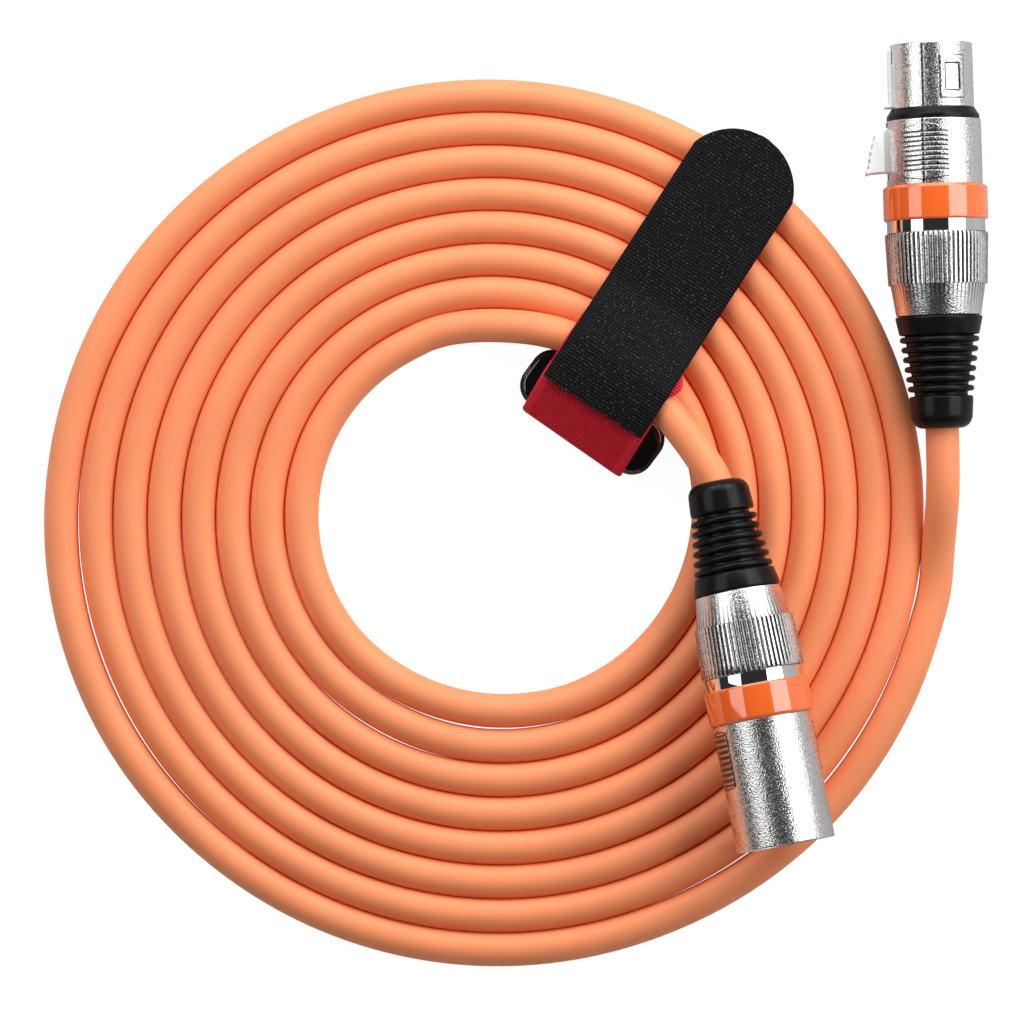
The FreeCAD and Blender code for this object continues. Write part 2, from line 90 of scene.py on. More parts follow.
class Signal:
    """A socket's value. Python's operators on it add Math nodes."""

    __add__, __radd__ = math_node("ADD"), math_node("ADD", swapped=True)
    __sub__, __rsub__ = math_node("SUBTRACT"), math_node("SUBTRACT", swapped=True)
    __mul__, __truediv__ = math_node("MULTIPLY"), math_node("DIVIDE")
    __pow__, __abs__ = math_node("POWER"), math_node("ABSOLUTE")
    sine, fraction, whole = math_node("SINE"), math_node("FRACT"), math_node("FLOOR")

    def __init__(self, graph: "Graph", socket: bpy.types.NodeSocket) -> None:
        """Keep the socket and the graph that it belongs to."""
        self.graph = graph
        self.socket = socket

    def between(self, low: float, high: float) -> "Signal":
        """Rise smoothly from 0 where self is low to 1 where it is high."""
        return self.graph.read(
            "ShaderNodeMapRange",
            "Result",
            {"interpolation_type": "SMOOTHSTEP"},
            {"Value": self, "From Min": low, "From Max": high},
        )


Value = Union[float, tuple, Vector, Signal]


class Graph:
    """A node tree, with one method that adds any node."""

    def __init__(self, owner: Union[bpy.types.Material, bpy.types.World]) -> None:
        """Give a material or a world an empty tree."""
        owner.use_nodes = True
        self.tree = owner.node_tree
        self.tree.nodes.clear()

    def node(
        self, kind: str, settings: Optional[dict] = None, sockets: Optional[dict] = None
    ) -> bpy.types.Node:
        """Add a node.

        Args:
            kind: The node's type name.
            settings: Its properties, set first.
            sockets: Input names or numbers, each with a value or a Signal.

        Returns:
            The new node.
        """
        node = self.tree.nodes.new(kind)
        for name, value in (settings or {}).items():
            setattr(node, name, value)
        for name, value in (sockets or {}).items():
            if isinstance(value, Signal):
                self.tree.links.new(value.socket, node.inputs[name])
            else:
                node.inputs[name].default_value = value
        return node

    def read(
        self,
        kind: str,
        output: Union[str, int],
        settings: Optional[dict] = None,
        sockets: Optional[dict] = None,
    ) -> Signal:
        """Add a node and return one of its outputs."""
        return Signal(self, self.node(kind, settings, sockets).outputs[output])

    def place(self) -> Signal:
        """The surface point in its object's own space, in metres."""
        return self.read("ShaderNodeTexCoord", "Object")

    def part(self, vector: Signal, axis: str) -> Signal:
        """One of a vector's three numbers."""
        return self.read("ShaderNodeSeparateXYZ", axis, sockets={"Vector": vector})

    def noise(self, scale: float, detail: float = 2.0, vector: Optional[Signal] = None) -> Signal:
        """Noise from 0 to 1, scale cells to a metre unless a vector is given."""
        where = vector or self.place()
        return self.read(
            "ShaderNodeTexNoise", 0, sockets={"Vector": where, "Scale": scale, "Detail": detail}
        )

    def attribute(self, name: str, output: str = "Fac") -> Signal:
        """A named attribute of the mesh."""
        return self.read("ShaderNodeAttribute", output, {"attribute_name": name})

    def mix(self, factor: Signal, *ends: Union[Colour, Signal]) -> Signal:
        """A colour between two colours or colour signals."""
        low, high = [end if isinstance(end, Signal) else (*end, 1) for end in ends]
        return self.read("ShaderNodeMix", 2, {"data_type": "RGBA"}, {0: factor, 6: low, 7: high})

    def bump(self, height: Signal, depth: float) -> Signal:
        """A normal from a height of 0 to 1 that stands depth millimetres high."""
        sockets = {"Height": height, "Distance": depth * MM, "Strength": 1.0}
        return self.read("ShaderNodeBump", "Normal", sockets=sockets)

    def surface(self, sockets: dict) -> None:
        """Finish the tree with a Principled shader."""
        shader = self.read("ShaderNodeBsdfPrincipled", 0, sockets=sockets)
        self.node("ShaderNodeOutputMaterial", sockets={"Surface": shader})


# Finishes


def scaled(colour: Colour, share: float, lift: float = 0.0) -> Colour:
    """A colour made deeper or paler."""
    return tuple(share * value + lift for value in colour)


@dataclass(frozen=True)
class Finish:
    """A surface finish, made into a material on first use.

    Its name differs from the record's material slots, whose plain materials come in with the frame.
    """

    name: str

    def paint(self, graph: Graph) -> None:
        """Add the finish's nodes to an empty tree."""
        raise NotImplementedError

    def material(self) -> bpy.types.Material:
        """The material, shared by all pieces with this finish."""
        known = bpy.data.materials.get(self.name)
        if known:
            return known
        made = bpy.data.materials.new(self.name)
        self.paint(Graph(made))
        return made


@dataclass(frozen=True)
class SatinNickel(Finish):
    """Plated die casting with a fine sparkling grain."""

    colour: Colour = (0.93, 0.92, 0.905)
    grain: float = 0.06
    roughness: float = 0.2
    metal: float = 1.0
    pits: float = 0.7

    def paint(self, graph: Graph) -> None:
        """A sharp grain, faint cloudy wear, and painted shade in the grooves, where the relief is
        steep.
        """
        fine = graph.noise(4200, 0)
        cloud = graph.noise(160, 3)
        bare = fine.between(0.36, 0.5)
        tone = graph.mix(bare, scaled(self.colour, self.pits), self.colour)
        # Painted shade: a near-black tone laid into grooves and window walls where the relief is
        # steep.
        painted_shade_tone = graph.mix(cloud, (0.045, 0.043, 0.04), (0.07, 0.068, 0.065))
        graph.surface(
            {
                "Base Color": graph.mix(graph.attribute("painted_shade") * 0.85, tone, painted_shade_tone),
                "Metallic": self.metal,
                "Roughness": self.roughness + (fine - 0.5) * 0.25 + cloud * 0.08,
                "Normal": graph.bump(fine, self.grain),
            }
        )


@dataclass(frozen=True)
class MirrorChrome(Finish):
    """Polished plating with hairline scratches."""

    def paint(self, graph: Graph) -> None:
        """A near mirror with faint scratches and smears."""
        scratch = graph.noise(2400, 4)
        smear = graph.noise(220, 2)
        graph.surface(
            {
                "Base Color": (0.84, 0.84, 0.85, 1),
                "Metallic": 1.0,
                "Roughness": 0.035 + smear.between(0.55, 0.9) * 0.05,
                "Normal": graph.bump(scratch, 0.0006),
            }
        )


@dataclass(frozen=True)
class GlossPlastic(Finish):
    """Glossy moulding with slight waviness."""

    colour: Colour = (1.0, 0.16, 0.024)
    roughness: float = 0.07
    wave: float = 0.004
    gloss: float = 0.9
    coat: float = 1.0

    def paint(self, graph: Graph) -> None:
        """A smooth moulding whose tone drifts a little."""
        drift = graph.noise(120, 2)
        deep = scaled(self.colour, 0.88)
        graph.surface(
            {
                "Base Color": graph.mix(drift, deep, self.colour),
                "Roughness": self.roughness + graph.noise(900, 2) * 0.03,
                "Specular IOR Level": self.gloss,
                "Coat Weight": self.coat,
                "Coat Roughness": 0.03,
                "Normal": graph.bump(graph.noise(260, 2), self.wave),
            }
        )


@dataclass(frozen=True)
class SatinRubber(Finish):
    """Soft matt material with a fine skin and traces of dust."""

    colour: Colour = (0.007, 0.007, 0.0078)
    roughness: float = 0.25

    def paint(self, graph: Graph) -> None:
        """Fine skin, with dusty patches a little paler and rougher."""
        dust = graph.noise(420, 4).between(0.5, 0.8)
        skin = graph.noise(5200, 2)
        pale = scaled(self.colour, 1, 0.004)
        graph.surface(
            {
                "Base Color": graph.mix(dust, self.colour, pale),
                "Roughness": self.roughness + dust * 0.1,
                "Specular IOR Level": 0.12,
                "Coat Weight": 0.06,
                "Coat Roughness": 0.14,
                "Normal": graph.bump(skin, 0.006),
            }
        )


@dataclass(frozen=True)
class SoftJacket(Finish):
    """The cable's matt, slightly silky outer jacket."""

    colour: Colour = (0.98, 0.31, 0.13)
    roughness: float = 0.48

    def paint(self, graph: Graph) -> None:
        """Slow changes of tone along the cable and a very fine grain."""
        drift = graph.noise(55, 2)
        speck = graph.noise(1300, 3).between(0.66, 0.8)
        deep = scaled(self.colour, 0.93)
        tone = graph.mix(drift.between(0.3, 0.7), deep, self.colour)
        spots = graph.mix(speck, self.colour, (0.78, 0.22, 0.09))
        spotted = graph.mix(speck * 0.12, tone, spots)
        graph.surface(
            {
                "Base Color": spotted,
                "Roughness": self.roughness + graph.noise(380, 3) * 0.08,
                "Specular IOR Level": 0.4,
                "Normal": graph.bump(graph.noise(2600, 3), 0.006),
            }
        )


@dataclass(frozen=True)
class MouldedPlastic(Finish):
    """Matt technical plastic, as on insulators and cores."""

    colour: Colour = (0.02, 0.02, 0.021)

    def paint(self, graph: Graph) -> None:
        """A fine spark-eroded texture."""
        texture = graph.noise(3800, 3)
        pale = scaled(self.colour, 1.25, 0.004)
        graph.surface(
            {
                "Base Color": graph.mix(texture, self.colour, pale),
                "Roughness": 0.45 + texture * 0.15,
                "Normal": graph.bump(texture, 0.01),
            }
        )


@dataclass(frozen=True)
class ContactMetal(Finish):
    """Drawn and silvered contact metal."""

    colour: Colour = (0.86, 0.83, 0.74)

    def paint(self, graph: Graph) -> None:
        """Drawing marks and slight tarnish."""
        tarnish = graph.noise(700, 3)
        dull = scaled(self.colour, 0.72)
        graph.surface(
            {
                "Base Color": graph.mix(tarnish.between(0.45, 0.8), self.colour, dull),
                "Metallic": 1.0,
                "Roughness": 0.16 + tarnish * 0.14,
                "Normal": graph.bump(graph.noise(6000, 2), 0.004),
            }
        )


class Weave(Enum):
    """How a tape is woven, as (rib pitch, thread pitch, share of painted glint specks, strength of
    painted shade between threads).
    """

    HOOK = (0.66, 0.5, 1.0, 0.1)
    LOOP = (0.58, 0.5, 0.3, 0.8)


@dataclass(frozen=True)
class WovenTape(Finish):
    """Woven tape with cross ribs, threads and a firmer edge."""

    colour: Colour = (0.004, 0.004, 0.0045)
    light: Colour = (0.1, 0.1, 0.108)
    weave: Weave = Weave.HOOK
    width: float = 22.5

    def paint(self, graph: Graph) -> None:
        """Ribs across the tape, threads along it that shift from rib to rib, and edge cords, with
        painted shade and painted glints.
        """
        rib_pitch, thread_pitch, specks, painted_weave_shade = self.weave.value
        where = graph.attribute("tape", "Vector")
        along = graph.part(where, "X")
        across = graph.part(where, "Y")
        wander = (graph.noise(0.35, 3, where) - 0.5) * 0.35
        row = along / rib_pitch + wander * 0.6
        rib = ((row * (2 * math.pi)).sine() + 1) * 0.5
        shift = (row.whole() * 0.5).fraction()
        column = across / thread_pitch + shift + wander
        thread = ((column * (2 * math.pi)).sine() + 1) * 0.5
        edge = abs(across).between(self.width / 2 - 1.8, self.width / 2 - 1.1)
        inner = rib * (0.25 + thread * 0.75)
        border = rib ** 0.7
        height = inner * (1 - edge) + border * edge
        fuzz = graph.noise(2.6, 3, where)
        # Light specks on raised threads: painted glints, partly paler threads.
        glints_and_pale_threads = graph.noise(2.3, 2, where).between(0.54, 0.68) * inner * (1 - edge) * specks
        # Sunken places darker and raised threads lighter: the weave's pattern, partly painted
        # shade.
        tone = graph.mix(height * painted_weave_shade + glints_and_pale_threads, self.colour, self.light)
        graph.surface(
            {
                "Base Color": tone,
                "Roughness": 0.72 - height * 0.12,
                "Specular IOR Level": 0.06,
                "Sheen Weight": 0.02,
                "Sheen Roughness": 0.5,
                "Sheen Tint": (*self.light, 1),
                "Normal": graph.bump(height * 0.8 + fuzz * 0.2, 0.11),
            }
        )


NICKEL = SatinNickel("nickel_casting")
SLEEVE_NICKEL = SatinNickel("nickel_sleeve", grain=0.045, pits=0.85)
LATCH_STEEL = SatinNickel(
    "latch_steel", (0.98, 0.98, 0.98), grain=0.02, roughness=0.3, metal=0.12, pits=0.95
)
CHROME = MirrorChrome("chrome_band")
RING_ORANGE = GlossPlastic("ring_orange")
BUCKLE_BLACK = GlossPlastic("buckle_black", colour=(0.004, 0.004, 0.005), coat=0.6)
BOOT_RUBBER = SatinRubber("rubber_boot")
RING_RUBBER = SatinRubber("ring_rubber", roughness=0.28)
JACKET = SoftJacket("jacket_orange")
INSULATOR = MouldedPlastic("plastic_insulator")
CORE = MouldedPlastic("plastic_core", colour=(0.55, 0.2, 0.12))
CONTACT = ContactMetal("contact_silver")
RED_TAPE = WovenTape("tape_red", (0.44, 0.007, 0.016), (1.0, 0.05, 0.085), Weave.LOOP)
BLACK_TAPE = WovenTape("tape_black")
RED_THREAD = SatinRubber("thread_red", colour=(0.45, 0.01, 0.02), roughness=0.6)


# Meshes


def rounded(outline: Outline, steps: int = 6) -> list[tuple[float, float]]:
    """Round the corners of a closed outline.

    Args:
        outline: Points of two numbers, each with an optional third, its corner's radius.
        steps: Points along each rounded corner.

    Returns:
        The outline's points, rounded.
    """
    result = []
    count = len(outline)
    for index, (x, y, *radius) in enumerate(outline):
        corner = Vector((x, y))
        if not radius:
            result.append((x, y))
            continue
        before = Vector(outline[index - 1][:2]) - corner
        after = Vector(outline[(index + 1) % count][:2]) - corner
        half_turn = (math.pi - before.angle(after)) / 2
        beside = (outline[index - 1], outline[(index + 1) % count])
        shares = [0.49 if len(point) > 2 else 0.98 for point in beside]
        room = min(before.length * shares[0], after.length * shares[1])
        reach = min(radius[0] * math.tan(half_turn), room)
        first = corner + before.normalized() * reach
        last = corner + after.normalized() * reach
        for step in range(steps + 1):
            t = step / steps
            point = first * (1 - t) ** 2 + corner * (2 * t * (1 - t)) + last * t**2
            result.append(tuple(point))
    return result


def arc(
    centre: tuple[float, float], size: tuple[float, float], turns: tuple[float, float], steps: int
) -> list[tuple[float, float]]:
    """Points along part of an ellipse, between two angles in degrees."""
    angles = np.radians(np.linspace(turns[0], turns[1], steps + 1))
    return [(centre[0] + size[0] * math.cos(a), centre[1] + size[1] * math.sin(a)) for a in angles]


def divided(outline: Outline, span: tuple[float, float], step: float) -> list[tuple[float, float]]:
    """Add points on the outline's runs inside a span of stations, about step apart."""
    result = []
    count = len(outline)
    for index, (radius, station) in enumerate(outline):
        result.append((radius, station))
        next_radius, next_station = outline[(index + 1) % count]
        low = min(station, next_station)
        high = max(station, next_station)
        if low < span[0] - 0.01 or high > span[1] + 0.01:
            continue
        pieces = int(math.hypot(next_radius - radius, next_station - station) / step)
        for piece in range(1, pieces):
            t = piece / pieces
            result.append(
                (radius + (next_radius - radius) * t, station + (next_station - station) * t)
            )
    return result


def ring_faces(rings: int, around: int, closed: bool, first: int = 0) -> list[list[int]]:
    """Quads between closed rings of points.

    Args:
        rings: How many rings there are.
        around: Points in each ring.
        closed: Whether the last ring joins the first.
        first: The number of the first ring's first point.

    Returns:
        The faces.
    """
    ring = np.arange(rings if closed else rings - 1)[:, None]
    spot = np.arange(around)[None, :]
    after = (ring + 1) % rings
    beside = (spot + 1) % around
    here, there = ring * around, after * around
    corners = np.broadcast_arrays(here + spot, here + beside, there + beside, there + spot)
    return (np.stack(corners, axis=-1).reshape(-1, 4) + first).tolist()


def add_object(name: str, data: bpy.types.ID) -> Thing:
    """Add an object with this data to the scene."""
    thing = bpy.data.objects.new(name, data)
    bpy.context.scene.collection.objects.link(thing)
    return thing


def add_mesh(
    name: str, points: np.ndarray, faces: Sequence, matrix: Matrix, sharp: float = SHARP_ANGLE
) -> Thing:
    """Make an object at the origin from points in millimetres.

    Args:
        name: The object's name.
        points: Points in the piece's own space.
        faces: Lists of point numbers.
        matrix: From the piece's own space to the row frame, in millimetres.
        sharp: Degrees above which an edge stays sharp.

    Returns:
        The object.
    """
    turned = points @ np.array(matrix.to_3x3()).T + np.array(matrix.translation)
    mesh = bpy.data.meshes.new(name)
    mesh.from_pydata((turned * MM).tolist(), [], faces)
    made = bmesh.new()
    made.from_mesh(mesh)
    bmesh.ops.recalc_face_normals(made, faces=made.faces)
    made.to_mesh(mesh)
    made.free()
    mesh.shade_smooth()
    mesh.set_sharp_from_angle(angle=math.radians(sharp))
    return add_object(name, mesh)


def lathe(
    name: str, outline: Outline, matrix: Matrix, around: int = 224, relief: Optional[Relief] = None
) -> Thing:
    """Turn a closed outline of (radius, station) about the connector's axis.

    A mesh attribute says how steep the relief is, from 0 to 1, and the nickel finish paints shade
    into the grooves with it.

    Args:
        name: The object's name.
        outline: The closed outline.
        matrix: The connector's place.
        around: Points around the axis.
        relief: How far the surface stands out at an angle and a station, on its outer side.

    Returns:
        The object.
    """
    radius, station = np.array(outline).T[:, :, None]
    angle = np.linspace(0, 2 * math.pi, around, endpoint=False)[None, :]
    reach = radius + np.zeros_like(angle)
    painted_shade = 0 * reach
    if relief:
        raised = relief(angle + 0 * station, station + 0 * angle) * (radius > RELIEF_RADIUS)
        reach = reach + raised
        # How steep the relief is, kept to paint shade into its grooves.
        for axis in (0, 1):
            step = np.abs(np.roll(raised, 1, axis) - raised)
            painted_shade = np.maximum(painted_shade, (step + np.roll(step, -1, axis)) / PAINTED_SHADE_STEP)
    points = np.stack([reach * np.cos(angle), reach * np.sin(angle), station + 0 * angle], axis=-1)
    thing = add_mesh(name, points.reshape(-1, 3), ring_faces(len(outline), around, True), matrix)
    if relief:
        shade = thing.data.attributes.new("painted_shade", "FLOAT", "POINT")
        shade.data.foreach_set("value", np.clip(painted_shade, 0, 1).reshape(-1).astype(np.float32))
    return thing


def plate(outline: Outline, width: float) -> tuple[np.ndarray, list]:
    """A flat plate from (x, station) points, centred across local Y: its points and faces."""
    count = len(outline)
    points = [(x, -width / 2, u) for x, u in outline] + [(x, width / 2, u) for x, u in outline]
    faces = [list(range(count)), list(range(2 * count - 1, count - 1, -1))]
    for index in range(count):
        after = (index + 1) % count
        faces.append([index, after, after + count, index + count])
    return np.array(points), faces


def soften(thing: Thing, width: float, segments: int = 3, angle: float = 30.0) -> None:
    """Bevel the edges of a mesh that are sharper than the angle, by a width in millimetres."""
    least = math.radians(angle)
    made = bmesh.new()
    made.from_mesh(thing.data)
    edges = [edge for edge in made.edges if edge.is_manifold and edge.calc_face_angle(0) > least]
    bmesh.ops.bevel(
        made,
        geom=edges,
        offset=width * MM,
        segments=segments,
        profile=0.5,
        affect="EDGES",
        clamp_overlap=True,
    )
    made.to_mesh(thing.data)
    made.free()
    thing.data.shade_smooth()
    thing.data.set_sharp_from_angle(angle=math.radians(BEVEL_SHARP_ANGLE))


def carve(thing: Thing, cutters: Sequence[Thing]) -> None:
    """Cut pieces out of a mesh for good, and throw the cutters away."""
    for cutter in cutters:
        cut = thing.modifiers.new("cut", "BOOLEAN")
        cut.object = cutter
        cut.operation = "DIFFERENCE"
        cut.solver = "EXACT"
    bpy.context.view_layer.update()
    seen = thing.evaluated_get(bpy.context.evaluated_depsgraph_get())
    carved = bpy.data.meshes.new_from_object(seen)
    thing.modifiers.clear()
    old = thing.data
    thing.data = carved
    carved.name = old.name
    bpy.data.meshes.remove(old)
    for cutter in cutters:
        bpy.data.objects.remove(cutter)
    thing.data.set_sharp_from_angle(angle=math.radians(SHARP_ANGLE))


def settle(thing: Thing, body: str, finish: Finish, slot: str, *nodes: str) -> None:
    """Dress a piece, tie it to its body and let it stand for CAD nodes.

    Args:
        thing: The piece, in place.
        body: The body that it rides on.
        finish: Its surface finish.
        slot: The record's material slot; not used.
        nodes: The CAD nodes that it stands for.
    """
    thing.data.materials.clear()
    thing.data.materials.append(finish.material())
    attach(thing, body)
    if nodes:
        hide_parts(*nodes)
    LOG.info("%s rides on %s", thing.name, body)


def dress(node: str, finish: Finish) -> None:
    """Give a CAD node that stays its finish."""
    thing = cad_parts[node]
    if thing.material_slots:
        for place in thing.material_slots:
            place.material = finish.material()
    else:
        thing.data.materials.append(finish.material())
    LOG.info("%s stays, with %s", node, finish.name)


# Connectors


@dataclass(frozen=True)
class Pose:
    """Where a connector lies: its boot's mouth, its turn from +Y and its rise, in degrees.

    Stations along the connector are drawn in by the stretch.
    """

    mouth: tuple[float, float, float]
    turn: float
    rise: float
    stretch: float = 1.0

    def matrix(self) -> Matrix:
        """Local X is the connector's left, Y its top and Z its way forward."""
        turn = math.radians(self.turn)
        rise = math.radians(self.rise)
        forward = Vector(
            (math.sin(turn) * math.cos(rise), math.cos(turn) * math.cos(rise), math.sin(rise))
        )
        side = Vector((0, 0, 1)).cross(forward).normalized()
        turned = Matrix((side, forward.cross(side), forward)).transposed().to_4x4()
        return Matrix.Translation(self.mouth) @ turned @ Matrix.Diagonal((1, 1, self.stretch, 1))

    def forward(self) -> Vector:
        """The way forward."""
        return (self.matrix().to_3x3() @ Vector((0, 0, 1))).normalized()


def angle_gap(angle: np.ndarray, centre: float) -> np.ndarray:
    """Signed distance in radians from a centre angle in degrees."""
    return (angle - math.radians(centre) + math.pi) % (2 * math.pi) - math.pi


def peak(distance: np.ndarray, half: float) -> np.ndarray:
    """1 where distance is 0, falling to 0 where its size is half."""
    return np.clip(1 - np.abs(distance) / half, 0, 1)


def step_up(distance: np.ndarray, width: float = 0.12) -> np.ndarray:
    """Rise from 0 where distance is below 0 to 1 where it is over the width."""
    return np.clip(distance / width, 0, 1)


def inside(
    x: np.ndarray, half: float, y: np.ndarray, low: float, high: float, slope: float = 0.12
) -> np.ndarray:
    """1 inside a rectangle, falling to 0 at its edge over the slope."""
    return step_up(half - np.abs(x), slope) * step_up(y - low, slope) * step_up(high - y, slope)


@dataclass
class Connector:
    """What the two connectors share: boot, sleeve, chrome band, marker ring and inner parts."""

    prefix: str
    pose: Pose
    bore: float = 3.25
    knurl_ridges: int = 64
    ridge_points: int = 14
    knurl_depth: float = 0.21
    knurl_span: tuple[float, float] = (28.1, 38.1)
    knurl_groove: float = 0.28
    rib_first: float = 7.75
    rib_pitch: float = 1.92
    rib_half: float = 0.58
    rib_crests: tuple[float, float] = (6.45, 7.7)
    rib_cores: tuple[float, float] = (5.2, 6.55)
    ribs: int = 6

    def place(self) -> Matrix:
        """The connector's place."""
        return self.pose.matrix()

    def named(self, rest: str) -> str:
        """A name that starts with the connector's."""
        return f"{self.prefix}_{rest}"

    def boot_outline(self) -> list[tuple[float, ...]]:
        """The boot's outline: round end, ribs with deep grooves, collar and inner flange."""
        outline = [(self.bore, 0.5), (self.bore, 0.1, 0.3)]
        outline += arc((3.6, 2.6), (2.4, 2.6), (-90, 0), 9)
        outline += [(6.2, 5.4), (6.15, 6.3, 0.4), (5.1, 6.35, 0.3)]
        for rib in range(self.ribs):
            middle = self.rib_first + self.rib_pitch * rib
            share = rib / (self.ribs - 1)
            crest, core = [
                ends[0] + (ends[1] - ends[0]) * share for ends in (self.rib_crests, self.rib_cores)
            ]
            outline += [(core, middle - 0.62, 0.2)]
            outline += arc((crest - self.rib_half, middle), (self.rib_half,) * 2, (-90, 90), 8)
            outline += [(core + 0.1, middle + 0.62, 0.2)]
        outline += [(6.75, 18.2, 0.3), (7.75, 18.3, 0.45), (8.5, 21.85, 0.4), (6.9, 21.95)]
        outline += [(6.9, 24.1), (8.3, 24.1), (8.3, 26.6), (7.3, 27.2), (7.3, 29.0), (5.9, 29.0)]
        outline += [(self.bore, 25.0)]
        return outline

    def boot(self) -> None:
        """The rubber boot."""
        made = lathe(self.named("boot_rubber"), rounded(self.boot_outline()), self.place(), 160)
        settle(made, self.named("boot"), BOOT_RUBBER, "boot_rubber", self.named("boot"))

    def knurl(self, angle: np.ndarray, station: np.ndarray) -> np.ndarray:
        """Straight grooves on the sleeve's wide part."""
        phase = (angle / (2 * math.pi) * self.knurl_ridges) % 1 - 0.5
        groove = peak(phase, self.knurl_groove)
        low, high = self.knurl_span
        return -self.knurl_depth * groove * ((station > low - 0.05) & (station < high - 0.2))

    def sleeve(self) -> None:
        """Coned and knurled sleeve nut."""
        low, high = self.knurl_span
        outline = [(8.22, 22.05, 0.12), (9.16, low - 0.06), (9.6, low), (10.0, high - 0.25)]
        outline += [(9.85, high), (8.4, high), (8.4, 24.5), (7.0, 24.5), (7.0, 22.0)]
        around = self.knurl_ridges * self.ridge_points
        smooth = divided(rounded(outline), (low + 0.01, high - 0.2), 1.4)
        made = lathe(self.named("sleeve_nut"), smooth, self.place(), around, self.knurl)
        body = self.named("sleeve")
        settle(made, body, SLEEVE_NICKEL, "sleeve", self.named("rear_sleeve"))

    def band(self) -> None:
        """Mirror-bright band in front of the knurl."""
        outline = rounded([(8.55, 38.2), (9.5, 38.2, 0.1), (9.5, 40.6, 0.05), (8.55, 40.6)])
        made = lathe(self.named("bright_band"), outline, self.place(), SMOOTH_AROUND)
        settle(made, "root", CHROME, "chrome", self.named("chrome_band"))

    def ring(self) -> None:
        """Glossy marker ring."""
        outline = [(8.55, 40.6), (9.75, 40.6, 0.2), (10.1, 40.85, 0.4), (10.1, 47.0, 0.5)]
        outline += [(9.5, 47.45, 0.3), (8.55, 47.45)]
        made = lathe(self.named("marker_ring"), rounded(outline), self.place(), SMOOTH_AROUND)
        settle(made, "root", RING_ORANGE, "colour_ring", self.named("colour_ring"))

    def build(self) -> None:
        """Make the shared pieces and dress the CAD parts inside."""
        self.boot()
        self.sleeve()
        self.band()
        self.ring()
        dress(self.named("cable_clamp"), INSULATOR)
        dress(self.named("cable_end"), JACKET)
        dress(self.named("conductors"), CORE)
        dress(self.named("insert"), INSULATOR)


